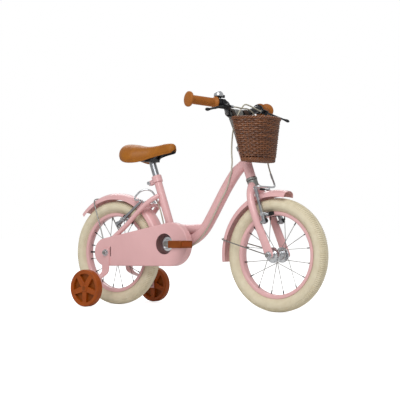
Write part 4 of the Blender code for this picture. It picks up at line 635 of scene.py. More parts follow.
tubes = {
    # stations of bowed tubes: share of the way, rise across it, distance from the middle plane
    "downTube": [(0, .002, 0), (.08, .004, 0), (.147, .0036, 0), (.282, -.006, 0), (.426, -.0203, 0),
                 (.563, -.0343, 0), (.671, -.0432, 0), (.757, -.0438, 0), (.835, -.038, 0),
                 (.915, -.0235, 0), (1, 0, 0)],
    "brace": [(0, 0, 0), (.17, -.003, 0), (.42, -.0055, 0), (.7, -.0045, 0), (1, 0, 0)],
    "seatStay": [(0, 0, .052), (.19, -.0018, .0495), (.343, -.0025, .047), (.54, 0, .044),
                 (.743, .0022, .037), (.874, .003, .026), (.985, .001, .011)],
    "chainStay": [(0, 0, .052), (.183, 0, .0485), (.367, 0, .0425), (.55, -.001, .0355),
                  (.665, 0, .029), (.78, 0, .0225), (.945, 0, .0175)],
    # places along the head and seat axes, then radii, lengths and thicknesses
    "downTop": .0516, "braceEnd": .0573, "stayTop": .17, "bridge": .765, "bridgeHalf": .036,
    "head": .0155, "headBore": .0124, "headLength": .093, "seat": .013, "seatBore": .0113,
    "seatLength": .2372,
    "shell": .02, "shellBore": .0172, "shellHalf": .034, "down": .018, "downThin": .0148, "downSwell": .0032,
    "braceRadius": .015, "stay": .008, "bridgeRadius": .006, "plate": .004, "plateOut": .052, "web": .003,
}
downPoints = bowed(onHead(tubes["downTop"]), crankCentre, tubes["downTube"])
stayFoot = rearAxle + Vector((.022, 0.0, .048))
chainFoot = rearAxle + Vector((.03, 0.0, .007))
stayTop = onSeat(tubes["stayTop"])
bridgeMiddle = bowed(stayFoot, stayTop, [(tubes["bridge"], 0.0, 0.0)])[0]


def dropoutShapes(side):
    # the plate with the axle's eye, and its tongues towards both stays
    inner = yAxis * (side * tubes["plateOut"] - tubes["plate"] / 2)
    shapes = [ringShape(rearAxle + yAxis * side * tubes["plateOut"], yAxis, .0052, .015, -.002, .002)]
    for foot in (stayFoot, chainFoot):
        way = (foot - rearAxle).normalized()
        start = rearAxle + way * .0105 + inner
        shapes.append(barShape(start, .0095, foot + inner, .007, yAxis * tubes["plate"]))
    return shapes


def frameShape():
    head, down, brace, seat, shell = [tubes[key] for key in ("head", "down", "braceRadius", "seat", "shell")]
    bore, length = tubes["headBore"], tubes["headLength"]
    parts = [spinShape([(bore, -.0001), (head, 0.0), (head, length), (bore, length)], headFoot, headAxis)]
    path = smoothPath(downPoints, 5)
    sizes = [tubes["downThin"] + tubes["downSwell"] * min(1.0, index / (len(path) * 0.16))
             for index in range(len(path))]
    parts.append(sweep(path, sizes, 32))
    braceEnd = onSeat(tubes["braceEnd"])
    braceWay = bowed(downPoints[6], braceEnd, tubes["brace"])
    parts.append(sweep(smoothPath(braceWay, 5), brace, 28))
    parts.append(ringShape(crankCentre, seatAxis, tubes["seatBore"], seat, 0.0, tubes["seatLength"]))
    half = tubes["shellHalf"]
    parts.append(ringShape(crankCentre, yAxis, tubes["shellBore"], shell, -half, half))
    web = [braceEnd, *downPoints[6:10], crankCentre]
    parts.append(prismShape([point - yAxis * tubes["web"] / 2 for point in web], yAxis * tubes["web"]))
    for side in (1, -1):
        for foot, top, stations in ((stayFoot, stayTop, "seatStay"), (chainFoot, crankCentre, "chainStay")):
            path = smoothPath(bowed(foot, top, tubes[stations], side), 5)
            parts.append(sweep(path, tubes["stay"], 24))
        parts += dropoutShapes(side)
    parts.append(crossRod(bridgeMiddle, -tubes["bridgeHalf"], tubes["bridgeHalf"], tubes["bridgeRadius"], 24))
    # weld beads: from a point of one tube towards another, where its wall meets a third tube's wall
    for start, goal, radius, point, axis, wall in (
            (downPoints[1], downPoints[0], .015, headFoot, headAxis, head),
            (downPoints[9], crankCentre, down, crankCentre, yAxis, shell),
            (braceEnd, crankCentre, seat, crankCentre, yAxis, shell),
            (braceWay[3], braceWay[4], brace, crankCentre, seatAxis, seat)):
        parts.append(weldBead(start, goal - start, radius, point, axis, wall))
    return join(*parts)


addPiece("frameTubes", frameShape(), "pink", "pink_paint", "frame")

# Both brakes: up is the way that the arms rise, ahead the way that the bosses point
brakes = {
    "rear": {"up": Vector((.75633, 0, .65419)), "ahead": Vector((-.65419, 0, .75633)), "bossOut": .0494,
             "bossLength": .0295, "armAhead": .022, "armLength": .112, "tipOut": .0374, "axle": rearAxle},
    "front": {"up": Vector((-.382042, 0, .924145)), "ahead": Vector((.924145, 0, .382042)), "bossOut": .048,
              "bossLength": .033, "armAhead": .0255, "armLength": .105, "tipOut": .036, "axle": frontAxle},
}
brakes["rear"]["foot"] = stayFoot + brakes["rear"]["up"] * .045
brakes["front"]["foot"] = frontAxle + brakes["front"]["up"] * .102


def bossShape(end, side):
    brake = brakes[end]
    foot = brake["foot"] + yAxis * side * brake["bossOut"]
    return rodShape(foot, foot + brake["ahead"] * brake["bossLength"], .005, 24)


seatClamp = {
    "foot": .2146, "height": .022, "bore": .0133, "radius": .0166, "boltLevel": .2226, "boltBack": .0289,
    "earBack": .0244, "earOut": .0044, "ear": (.0098, .0026, .0075),
    # shank, head and nut: both ends, radius and number of sides
    "bolt": [(-.0135, .0125, .003, 32), (-.015, -.0072, .006, 32), (.0072, .0135, .0058, 6)],
}


def seatClampShape():
    ears = onSeat(seatClamp["boltLevel"]) + seatBack * seatClamp["earBack"]
    ring = ringShape(onSeat(seatClamp["foot"]), seatAxis, seatClamp["bore"], seatClamp["radius"], 0.0,
                     seatClamp["height"])
    axes = (seatBack, yAxis, seatAxis)
    blocks = [boxShape(ears + yAxis * side * seatClamp["earOut"], seatClamp["ear"], axes) for side in (1, -1)]
    return join(ring, *blocks)


addPiece("seatClampBand", seatClampShape(), "pink", "pink_paint", "seat_clamp", bevel=0.8 * mm)
boltMiddle = onSeat(seatClamp["boltLevel"]) + seatBack * seatClamp["boltBack"]
addPiece("seatClampBolt", join(*[crossRod(boltMiddle, *part) for part in seatClamp["bolt"]]), "chrome",
         "bright_steel", "seat_clamp", bevel=0.6 * mm)
addPiece("rearBosses", join(bossShape("rear", 1), bossShape("rear", -1)), "zinc", "bright_steel", "frame")
print("frame made")

# Fork, headset and stem

# stations as in the frame's tubes, with half widths (across the bike, along it)
forkLeg = {
    "path": [(0, 0, .004), (.055, 0, .018), (.146, 0, .034), (.268, -.001, .044), (.42, -.001, .048),
             (.568, -.001, .048), (.788, 0, .048), (.904, 0, .047), (1, 0, .047), (1.036, 0, .047)],
    "sizes": [(.012, .012), (.0126, .012), (.0126, .012), (.012, .012), (.012, .012), (.012, .012),
              (.0138, .0066), (.015, .003), (.015, .003), (.0096, .003)],
}


def forkShape():
    parts = []
    for side in (1, -1):
        way = smoothPath(bowed(onHead(-.0213), frontAxle, forkLeg["path"], side), 6)
        parts.append(sweep(way, evenPairs(forkLeg["sizes"], 6), 28))
    return join(*parts)


addPiece("forkLegs", forkShape(), "pink", "pink_paint", "fork")
addPiece("forkBosses", join(bossShape("front", 1), bossShape("front", -1)), "zinc", "bright_steel", "fork")

# the headset's turned rings, as (radius, height) pairs from the head tube's foot or top
headset = {
    "crownRace": [(.013, -.03), (.0158, -.03), (.0165, -.0285), (.0165, -.0105), (.015, -.0092),
                  (.013, -.0092)],
    "lowerCup": [(.013, -.0085), (.0168, -.0085), (.0175, -.0075), (.0175, -.003), (.0162, -.0004),
                 (.013, -.0004)],
    "upperCup": [(.013, .0004), (.0162, .0004), (.0175, .003), (.0175, .0072), (.0166, .0085), (.013, .0085)],
    "nut": (.013, .0188, .0092, .0061),
}
headTop = tubes["headLength"]
upperCup = [(radius, headTop + height) for radius, height in headset["upperCup"]]
addPiece("crownRace", spinShape(headset["crownRace"], headFoot, headAxis, 48), "zinc", "dull_steel", "fork")
addPiece("lowerCup", spinShape(headset["lowerCup"], headFoot, headAxis, 56), "zinc", "dull_steel",
         "headset_lower_cup")
addPiece("upperCup", spinShape(upperCup, headFoot, headAxis, 56), "zinc", "dull_steel", "headset_upper_cup")
bore, radius, foot, height = headset["nut"]
addPiece("headsetNut", ringShape(onHead(headTop + foot), headAxis, bore, radius, 0.0, height, 8), "chrome",
         "dull_steel", "headset_upper_cup", bevel=0.8 * mm)

stem = {
    "levels": [.043, .12, .175, .1985], "top": .202, "topAhead": .0004,
    "radii": [.0111, .0111, .0113, .0125, .0135],
    "barrel": [(.0113, -.02), (.016, -.02), (.017, -.0188), (.017, .0188), (.016, .02), (.0113, .02)],
    "bar": (.48003 - .54, 0, .61301 - .412),
}
barCentre = onHead(0.0) + Vector(stem["bar"])


def stemShape():
    quill = [onHead(level) for level in stem["levels"]]
    quill.append(onHead(stem["top"]) + headForward * stem["topAhead"])
    return join(sweep(quill, stem["radii"], 40), spinShape(stem["barrel"], barCentre, yAxis, 48))


addPiece("stemPost", stemShape(), "zinc", "dull_steel", "stem")
print("fork made")

# Fenders with their wire stays

fenders = {
    "section": [(-1, 0), (-.84, .62), (-.36, .97), (0, .995), (.36, .97), (.84, .62), (1, 0)],
    "inner": .178, "rise": .021, "half": .028, "sheet": .0015, "middle": .182, "top": .1985,
    # the wire stay: (radius, distance from the middle plane) beyond its eyelets
    "stay": [(.1, .0432), (.166, .034), (.184, .031), (.1973, .0223), (.2013, .0093), (.2018, 0.0)],
    "stayWire": 2.0 * mm, "eyelet": 2.0 * mm,
    "rear": {"axle": rearAxle, "start": 137.5, "end": 24.0, "holder": bridgeMiddle, "tab": .004,
             "stayAngle": 116.0, "stayOut": 56.3},
    "front": {"axle": frontAxle, "start": 77.8, "end": 187.0, "holder": onHead(-.03), "tab": .005,
              "stayAngle": 166.0, "stayOut": 52.3},
}


def fenderShape(axle, start, end, steps):
    # a curved sheet swept round the wheel
    outer = [(fenders["inner"] + fenders["rise"] * lift, fenders["half"] * share)
             for share, lift in fenders["section"]]
    outer = evenPairs(outer, 5)
    middle = fenders["middle"]
    inner = []
    for radius, y in reversed(outer):
        length = math.hypot(radius - middle, y)
        keep = (length - fenders["sheet"]) / length
        inner.append((middle + (radius - middle) * keep, y * keep))
    shape = newShape()
    profile = outer + inner
    points = [shape.verts.new(axle + wheelPoint(radius, start, y)) for radius, y in profile]
    edges = [shape.edges.new((a, b)) for a, b in zip(points, points[1:] + points[:1])]
    capEnd(shape, points)
    made = bmesh.ops.spin(shape, geom=points + edges, cent=axle, axis=yAxis, angle=start - end, steps=steps)
    last = [item for item in made["geom_last"] if isinstance(item, bmesh.types.BMVert)]
    lastPoints = []
    for radius, y in profile:
        spot = axle + wheelPoint(radius, end, y)
        lastPoints.append(min(last, key=lambda v: (v.co - spot).length))
    capEnd(shape, lastPoints)
    return shape


def capEnd(shape, points):
    # closes the sheet's end with faces between its outer and its inner outline
    for near in range(len(points) // 2 - 1):
        far = len(points) - 1 - near
        shape.faces.new((points[near], points[near + 1], points[far - 1], points[far]))


for name in ("rear", "front"):
    fender = fenders[name]
    axle = fender["axle"]
    shape = fenderShape(axle, math.radians(fender["start"]), math.radians(fender["end"]), 96)
    addPiece(name + "FenderSheet", shape, "pink", "pink_paint", name + "_fender", bevel=0.4 * mm)
    outward = flattened(fender["holder"] - axle).normalized()
    tabEnd = bridgeMiddle - outward * .0075 if name == "rear" else onHead(-.0304)
    addPiece(name + "FenderTab", rodShape(axle + outward * fenders["top"], tabEnd, fender["tab"], 24), "pink",
             "pink_paint", name + "_fender")
    angle = math.radians(fender["stayAngle"])
    eyelet = fenders["eyelet"]
    mid = fender["stayOut"] * mm - eyelet / 2
    stations = [(.0098, mid), (.026, mid), (.036, mid - .001)] + fenders["stay"]
    wire = [axle + wheelPoint(radius, angle, y) for radius, y in stations]
    wire += reflected(wire[:-1])
    addWire(name + "StayWire", [smoothPath(wire, 6)], fenders["stayWire"], "zinc", "bright_steel",
            name + "_fender_stay", 16)
    for side in (1, -1):
        ring = ringShape(axle + yAxis * (side * mid - eyelet / 2), yAxis, .0051, .0095, 0.0, eyelet)
        addPiece(name + "Eyelet" + sideName(side), ring, "zinc", "bright_steel", name + "_fender_stay",
                 bevel=0.3 * mm)
print("fenders made")

# Drive under its guard

drive = {
    "pitch": 12.7 * mm, "ringRadius": .05671, "sprocketRadius": .03255, "ringTeeth": 28, "sprocketTeeth": 16,
    "line": .04, "tooth": .0022,
    # one tooth: share of its pitch, height over the pitch circle
    "toothOutline": [(0.0, -.0042), (.22, -.0038), (.38, .0006), (.62, .0006), (.78, -.0038)],
    "spider": [(.0084, .0411), (.031, .0411), (.031, .042), (.0285, .0427), (.0262, .043), (.0255, .0438),
               (.0239, .0455), (.0225, .046), (.015, .046), (.014, .0452), (.0084, .0452)],
    "freewheel": [(.0176, .033), (.023, .033), (.0238, .034), (.0238, .0405), (.023, .0415), (.0176, .0415)],
    # the chain's link ends, plates and rollers, then the bottom bracket's cup
    "link": .0041, "plate": .0008, "innerLevel": .0023, "outerLevel": .0034, "roller": .0038,
    "cup": [(.009, .0343), (.02, .0343), (.02, .0358), (.018, .0365), (.009, .0365)],
    # the crank from its axle outward: (along the arm, distance from the middle plane, both half widths)
    "crank": [(0, .0467, .008, .008), (.002, .0562, .008, .008), (.0075, .0637, .008, .0078),
              (.016, .0668, .0065, .009), (.028, .07, .0055, .009), (.102, .07, .0055, .009)],
    "length": .102, "eye": (.0645, .0755, .0105), "pin": (.07, .1352, .0048),
}


def loftShape(rings, caps=(True, True)):
    # a skin through rings that hold the same number of points
    shape = newShape()
    points = [shape.verts.new(point) for point in rings[0]]
    edges = [shape.edges.new(pair) for pair in zip(points, points[1:] + points[:1])]
    if caps[0]:
        shape.faces.new(points)
    for before, ring in zip(rings, rings[1:]):
        fresh, edges = extrudeRim(shape, edges)
        places = {tuple(round(value, 6) for value in point): index for index, point in enumerate(before)}
        for vert in fresh:
            vert.co = ring[places[tuple(round(value, 6) for value in vert.co)]]
    if caps[1]:
        bmesh.ops.contextual_create(shape, geom=edges)
    return shape


def toothedDisc(centre, radius, teeth):
    outline = []
    for index in range(teeth):
        for share, offset in drive["toothOutline"]:
            angle = math.tau * (index + share - 0.5) / teeth
            outline.append(centre + wheelPoint(radius + offset, angle, -drive["line"] - drive["tooth"] / 2))
    return prismShape(outline, yAxis * drive["tooth"])


def toothedPiece(name, centre, wheelName, look, slot, node):
    disc = toothedDisc(centre, drive[wheelName + "Radius"], drive[wheelName + "Teeth"])
    addPiece(name, disc, look, slot, node)


toothedPiece("chainringDisc", crankCentre, "ring", "chrome", "bright_steel", "chainring")
addPiece("chainringSpider", spinShape(drive["spider"], crankCentre, -yAxis), "chrome", "bright_steel",
         "chainring")
toothedPiece("sprocketDisc", rearAxle, "sprocket", "steel", "dull_steel", "rear_sprocket")
addPiece("freewheelBody", spinShape(drive["freewheel"], rearAxle, -yAxis, 24), "steel", "dull_steel",
         "rear_sprocket")


def chainPoints():
    # joints of the links, evenly along the band round both toothed wheels
    outline = capsuleOutline((rearAxle.x, rearAxle.z), drive["sprocketRadius"],
                             (crankCentre.x, crankCentre.z), drive["ringRadius"], 60)
    path = [Vector((x, -drive["line"], z)) for x, z in outline]
    return evenLoop(path, 2 * round(loopLength(path) / drive["pitch"] / 2))


joints = chainPoints()
plates = []
for index, (a, b) in enumerate(zip(joints, joints[1:] + joints[:1])):
    level = drive["outerLevel"] if index % 2 else drive["innerLevel"]
    for side in (1, -1):
        low = yAxis * (side * level - drive["plate"] / 2)
        plates.append(barShape(a + low, drive["link"], b + low, drive["link"], yAxis * drive["plate"], 6))
    plates.append(crossRod(a, -.002, .002, drive["roller"], 12))
addPiece("chainLinks", join(*plates), "steel", "dull_steel", "chain")

guard = {
    "face": .0618, "inner": .036, "wall": .0016, "bend": .0034, "hole": .034,
    # both ends of the outline: (forward of the axle, above it, radius)
    "rear": (-.006, .002, .046), "front": (.0235, -.001, .07),
    "boss": [(.0054, .0567), (.0085, .0567), (.0085, .0604), (.0054, .0604)],
    "hem": [(.034, .06), (.0354, .0604), (.0358, .0617), (.035, .0622), (.0338, .062), (.0334, .061)],
    # the groove that leaves room for the fender's wire stay
    "stayGroove": [(.026, .0553), (.036, .0543), (.166, .034)],
}


def guardRing(inset, y):
    rearX, rearZ, rearRadius = guard["rear"]
    frontX, frontZ, frontRadius = guard["front"]
    outline = capsuleOutline((rearAxle.x + rearX, rearAxle.z + rearZ), rearRadius - inset,
                             (crankCentre.x + frontX, crankCentre.z + frontZ), frontRadius - inset, 56)
    return [Vector((x, -y, z)) for x, z in outline]


def guardShape():
    face, inner, wall, bend = [guard[key] for key in ("face", "inner", "wall", "bend")]
    rings = [guardRing(.0042, face)]
    for step in range(7):
        turn = math.radians(90.0 - 15.0 * step)
        rings.append(guardRing(bend * (1 - math.cos(turn)), face - bend * (1 - math.sin(turn))))
    # down the wall, round its hem and back up inside
    rings += [guardRing(*ring) for ring in (
        (0.0, inner + .0022), (-.0001, inner + .0004), (.0004, inner), (wall, inner), (wall, face - .004),
        (.0028, face - .0022), (.0046, face - wall))]
    # holes for the crank, the axle and its adjusting slot, then grooves for the seat stay and the wire stay
    cuts = [crossRod(crankCentre, -(face - .01), -(face + .01), guard["hole"], 72),
            crossRod(rearAxle, -.02, -(face + .01), .0054, 24),
            boxShape(rearAxle + Vector((.019, -face, .004)), (.002, .006, .016))]
    notch = smoothPath(bowed(stayFoot, stayTop, tubes["seatStay"], -1)[:4], 4)
    before = notch[0] - (notch[1] - notch[0]).normalized() * .005
    cuts.append(sweep([before] + notch, .0088, 20))
    angle = math.radians(fenders["rear"]["stayAngle"])
    groove = [rearAxle + wheelPoint(radius, angle, -y) for radius, y in guard["stayGroove"]]
    cuts.append(sweep(groove, .0028, 12))
    return cutShape(loftShape(rings), *cuts)


addPiece("guardShell", guardShape(), "pink", "pink_paint", "chain_guard", sharp=30.0)
boss = spinShape(guard["boss"], rearAxle, -yAxis, 32)
hem = spinShape(guard["hem"], crankCentre, -yAxis, 72)
addPiece("guardBoss", join(boss, hem), "pink", "pink_paint", "chain_guard")
for side in (1, -1):
    addPiece("bracketCup" + sideName(side), spinShape(drive["cup"], crankCentre, yAxis * side, 32), "zinc",
             "dull_steel", "bottom_bracket_cup_" + sideName(side))


def crankShape():
    left = [crankCentre + Vector((-x, y, 0)) for x, y, _, _ in drive["crank"]]
    right = [crankCentre + Vector((x, -y, 0)) for x, y, _, _ in drive["crank"]]
    sizes = [(thick, wide) for _, _, thick, wide in drive["crank"]]
    parts = [sweep(smoothPath(left[::-1] + right, 5), evenPairs(sizes[::-1] + sizes, 5), 24, zAxis)]
    for side in (1, -1):
        end = crankCentre - xAxis * (side * drive["length"])
        for (near, far, radius), sides in ((drive["eye"], 40), (drive["pin"], 24)):
            parts.append(crossRod(end, side * near, side * far, radius, sides))
    return join(*parts)


addPiece("crankBar", crankShape(), "zinc", "bright_steel", "crank", bevel=0.6 * mm, sharp=40.0)

pedal = {
    "halves": (.025, .032, .0115), "slot": (.0045, .022, .02), "slotAt": .0135, "bore": .0054,
    "ribs": 5, "ribPitch": .0054, "ribLevel": .0118, "rib": (.03, .0009, .0012),
    "reflector": (.0016, .024, .0068), "reflectorAt": .0248,
}


def pedalShape(centre, side):
    # a ribbed block with two slots and a hollow for the pin
    block = boxShape(centre, pedal["halves"])
    bmesh.ops.bevel(block, geom=list(block.edges), offset=.003, segments=4, profile=0.5, affect="EDGES",
                    material=-1)
    cuts = [boxShape(centre + xAxis * (end * pedal["slotAt"]), pedal["slot"]) for end in (1, -1)]
    cuts.append(crossRod(centre, -side * .042, side * .0245, pedal["bore"], 24))
    for level in (1, -1):
        for share in range(-pedal["ribs"], pedal["ribs"] + 1):
            groove = centre + Vector((0, share * pedal["ribPitch"], level * pedal["ribLevel"]))
            cuts.append(boxShape(groove, pedal["rib"]))
    return cutShape(block, *cuts)


for side in (1, -1):
    name = "pedal_" + sideName(side)
    centre = jointPlace[name + "_spin"]
    addPiece(name + "_block", pedalShape(centre, side), "darkBrown", "brown_plastic", name)
    for end, place in ((1, "Front"), (-1, "Rear")):
        insert = boxShape(centre + xAxis * (end * pedal["reflectorAt"]), pedal["reflector"])
        addPiece(name + "_reflector" + place, insert, "brown", "brown_plastic", name, bevel=0.8 * mm)
print("drive made")

# Axles, nuts and training wheels

axles = {
    # ends, nuts: distances from the middle plane to the left and to the right
    "front": {"centre": frontAxle, "ends": (.0636, .0636), "nuts": (.0526, .0526), "cone": .0437},
    "rear": {"centre": rearAxle, "ends": (.0714, .0769), "nuts": (.0604, .0659), "cone": .0497},
    "rod": .0048,
    "washer": [(.005, 0.0), (.0112, 0.0), (.0112, .001), (.0104, .0016), (.005, .0016)],
    "nut": [(.005, .0012), (.0092, .0012), (.0092, .007), (.008, .008), (.005, .008)],
}


def threadedRod(centre, start, end, radius):
    # a rod with the ridges of a screw thread 1 mm apart
    profile = [(0.0, start)]
    count = int((end - start) / mm)
    for index in range(count):
        profile += [(radius * 0.93, start + index * mm), (radius, start + (index + 0.5) * mm)]
    profile += [(radius * 0.85, end), (0.0, end)]
    return spinShape(profile, centre, yAxis, 24, closed=False)


for end in ("front", "rear"):
    axle = axles[end]
    centre = axle["centre"]
    left, right = axle["ends"]
    reach = axle["cone"]
    cone = [(.005, .043), (.0085, .043), (.0085, reach - .0006), (.0078, reach), (.005, reach)]
    cones = [spinShape(cone, centre, yAxis * side, 32) for side in (1, -1)]
    addPiece(end + "AxleRod", join(threadedRod(centre, -right, left, axles["rod"]), *cones), "zinc",
             "bright_steel", end + "_axle")
    for side, seat in zip((1, -1), axle["nuts"]):
        place = centre + yAxis * side * seat
        washer = spinShape(axles["washer"], place, yAxis * side, 40)
        hexa = spinShape(axles["nut"], place, yAxis * side, 6)
        addPiece(end + "Nut" + sideName(side), join(washer, hexa), "chrome", "bright_steel",
                 end + "_axle_nut_" + sideName(side), bevel=0.4 * mm)

training = {
    "rim": [(59.7, 8.5), (59.2, 11.0), (57.0, 12.7), (54.6, 12.7), (53.4, 11.6), (49.2, 11.3), (46.8, 10.2),
            (45.8, 6.0), (45.4, 0.0)],
    "hub": [(5.1, 12.6), (10.6, 12.6), (12.0, 12.0), (12.5, 11.0), (13.2, 5.5)],
    "spokes": 5, "spokeHalf": .0105, "web": (.01, .05, .0016), "wheelOut": .177,
    # the bracket: distance of its upper leg on each side, and half its thickness
    "mid": {"left": .05835, "right": .06385}, "half": .00175,
    "widths": [.015, .015, .0145, .0135, .0125, .0115, .0112, .011, .011],
    "boltFrom": .1502, "boltTo": .19, "bolt": .0048,
    "head": [(0.0, 0.0), (.0078, 0.0), (.0085, .0008), (.0085, .0045), (0.0, .0045)],
    "nut": [(0.0, 0.0), (.0078, 0.0), (.0085, .0008), (.0085, .0072), (.0078, .008), (0.0, .008)],
}


def trainingWheelShape(centre):
    rim = spinShape(bothSides(scaledPairs(training["rim"])), centre, yAxis, 96)
    hub = spinShape(bothSides(scaledPairs(training["hub"])), centre, yAxis, 48)
    spokes = []
    for index in range(training["spokes"]):
        angle = math.tau * (index + 0.75) / training["spokes"]
        way = wheelPoint(1.0, angle)
        low = yAxis * -training["spokeHalf"]
        foot = centre + way * .006 + low
        tip = centre + way * .048 + low
        spokes.append(barShape(foot, .0095, tip, .008, low * -2, 10))
    return join(rim, hub, *spokes)


def bracketStrip(mid, side):
    # a pressed steel strip from the rear axle down and out to the training wheel
    bend = mid + .01
    stations = [(0, mid, .015), (0, mid, 0), (0, mid, -.05), (.003, bend, -.068),
                (.0095, (bend + .15025) / 2, -.0835), (.013, .15025, -.096), (.0155, .1568, -.1),
                (.016, .15835, -.1035), (.016, .16025, -.124)]
    path = smoothPath([rearAxle + Vector((x, side * y, z)) for x, y, z in stations], 4)
    sizes = evenPairs([(width, training["half"]) for width in training["widths"]], 4)
    rings = []
    for point, way, (width, half) in zip(path, directions(path), sizes):
        normal = way.cross(xAxis).normalized()
        rings.append([point + xAxis * a * width + normal * b * half
                      for a, b in ((1, 1), (-1, 1), (-1, -1), (1, -1))])
    return loftShape(rings)


for side in (1, -1):
    name = "training_wheel_" + sideName(side)
    bracket = "training_bracket_" + sideName(side)
    bolt = "training_bolt_" + sideName(side)
    centre = jointPlace[name + "_spin"]
    addPiece(name + "_moulding", trainingWheelShape(centre), "brown", "brown_plastic", name, bevel=0.9 * mm)
    # the web between the spokes is coloured darker than the moulding: painted shade for the deep recesses between
    # the spokes
    inner, outer, half = training["web"]
    addPiece(name + "_web", ringShape(centre, yAxis, inner, outer, -half, half, 64), "darkBrown",
             "brown_plastic", name)
    addPiece(bracket + "_strip", bracketStrip(training["mid"][sideName(side)], side), "pink", "pink_paint",
             bracket, bevel=0.5 * mm)
    foot = centre + yAxis * side * (training["boltFrom"] - training["wheelOut"])
    end = centre + yAxis * side * (training["boltTo"] - training["wheelOut"])
    shank = rodShape(foot, end - yAxis * side * .003, training["bolt"], 24)
    nut = spinShape(training["nut"], foot, yAxis * side, 6, closed=False)
    addPiece(bolt + "_screw", join(shank, nut), "zinc", "bright_steel", bolt, bevel=0.3 * mm)
    head = spinShape(training["head"], end - yAxis * side * .0002, -yAxis * side, 6, closed=False)
    addPiece(bolt + "_head", head, "darkBrown", "bright_steel", bolt, bevel=0.3 * mm)
print("training wheels made")

# Saddle on its post

saddle = {
    "stations": [(-.113, .026, .045, .026), (-.106, .044, .055, .015), (-.09, .059, .061, .005),
                 (-.068, .067, .06, -.0025), (-.042, .064, .0555, -.0045), (-.018, .049, .0515, -.001),
                 (.006, .0325, .051, .008), (.032, .024, .0535, .0155), (.06, .0205, .0575, .021),
                 (.0835, .017, .0575, .025), (.0935, .009, .052, .033)],
    # cross sections: (share of the half width, share of the height over the skirt)
    "section": [(0, 1), (.38, .965), (.7, .83), (.92, .58), (1, .3), (.97, .08), (.9, 0), (.82, .16),
                (.55, .46), (0, .56)],
    "shell": [(0.0, 0.55), (0.54, 0.45), (0.72, 0.235), (0.65, 0.2), (0.5, 0.36), (0.0, 0.46)],
    "lip": [(.985, .22), (1.005, .08), (.93, -.045), (.78, .02), (.7, .2), (.86, .16)],
    "lipFrom": -.04, "lipTo": .0905, "piping": (.985, .2), "pipingRadius": 0.9 * mm,
    "rounding": ((.88, .0008), (.6, .0018), (.3, .0022), (.1, .0023)),
    "rail": [(-.086, .03, .0245), (-.078, .029, .014), (-.062, .024, .007), (-.036, .018, .006),
             (-.013, .018, .006), (.01, .018, .006), (.029, .0135, .0195), (.052, .009, .0325)],
    "railRadius": 3.5 * mm, "postFoot": .1526, "postTop": .2876, "post": .0111,
}
postTop = onSeat(saddle["postTop"])


def saddleSpot(station, share, height, side=1, drop=0.0):
    x, half, top, skirt = station
    return postTop + Vector((x, side * half * share, skirt + (top - skirt) * height - drop))


def saddleRing(station, section, drop=0.0):
    right = [saddleSpot(station, *spot, drop=drop) for spot in section]
    return right + reflected(right[1:-1])


def betweenStations(stations, steps):
    first = smoothPath([(a, b, c) for a, b, c, _ in stations], steps)
    second = smoothPath([(a, d, 0.0) for a, _, _, d in stations], steps)
    return [(p.x, p.y, p.z, q.y) for p, q in zip(first, second)]


def shrunk(ring, share, push):
    middle = sum(ring, Vector()) / len(ring)
    return [middle + (point - middle) * share + push for point in ring]


outline = evenPairs(saddle["section"], 3)
rings = [saddleRing(station, outline) for station in betweenStations(saddle["stations"], 5)]
rearEnd = [shrunk(rings[0], share, xAxis * -reach) for share, reach in saddle["rounding"]]
frontEnd = [shrunk(rings[-1], share, xAxis * reach) for share, reach in saddle["rounding"]]
rings = rearEnd[::-1] + rings + frontEnd
cover = addPiece("saddleCover", loftShape(rings), "saddle", "tan_leather", "saddle", rounds=1, sharp=80.0)
seam = [saddleSpot(station, *saddle["piping"]) for station in betweenStations(saddle["stations"], 8)]
addWire("saddlePiping", [seam + reflected(seam)], saddle["pipingRadius"], "saddle", "tan_leather", "saddle",
        closed=True)
post = sweep([onSeat(saddle["postFoot"]), postTop], saddle["post"], 56)
addPiece("seatPostTube", post, "satin", "bright_steel", "seat_post", bevel=0.6 * mm)
head = boxShape(postTop + zAxis * .006, (.015, .0225, .0075))
addPiece("seatPostHead", head, "blackEnamel", "bright_steel", "seat_post", bevel=2.0 * mm, segments=3)
for side in (1, -1):
    rail = [postTop + Vector((x, side * y, z)) for x, y, z in saddle["rail"]]
    addWire("saddleRail" + sideName(side), [smoothPath(rail, 6)], saddle["railRadius"], "blackEnamel",
            "black_steel", "saddle_base", 16)
# the moulded shell under the cover
stations = betweenStations(saddle["stations"][1:-1], 4)
rings = [saddleRing(station, saddle["shell"], touch) for station in stations]
addPiece("saddleShell", loftShape(rings), "blackPlastic", "black_steel", "saddle_base")


def panLipShape(side):
    # the pan's edge, which shows below the cover from the clamp to the nose
    rings = []
    stations = [station for station in betweenStations(saddle["stations"], 4)
                if saddle["lipFrom"] < station[0] < saddle["lipTo"]]
    for index, station in enumerate(stations):
        fade = min(1.0, index / 5)
        ring = []
        for share, height in saddle["lip"]:
            level = height if height > .1 else height * fade + .1 * (1 - fade)
            wide = share if share < .9 else .9 + (share - .9) * fade
            ring.append(saddleSpot(station, wide, level, side))
        rings.append(ring)
    return loftShape(rings)


for side in (1, -1):
    addPiece("panLip" + sideName(side), panLipShape(side), "blackPlastic", "black_steel", "saddle_base",
             rounds=1, sharp=80.0)
print("saddle made")

# Handlebar, grips, levers and bell

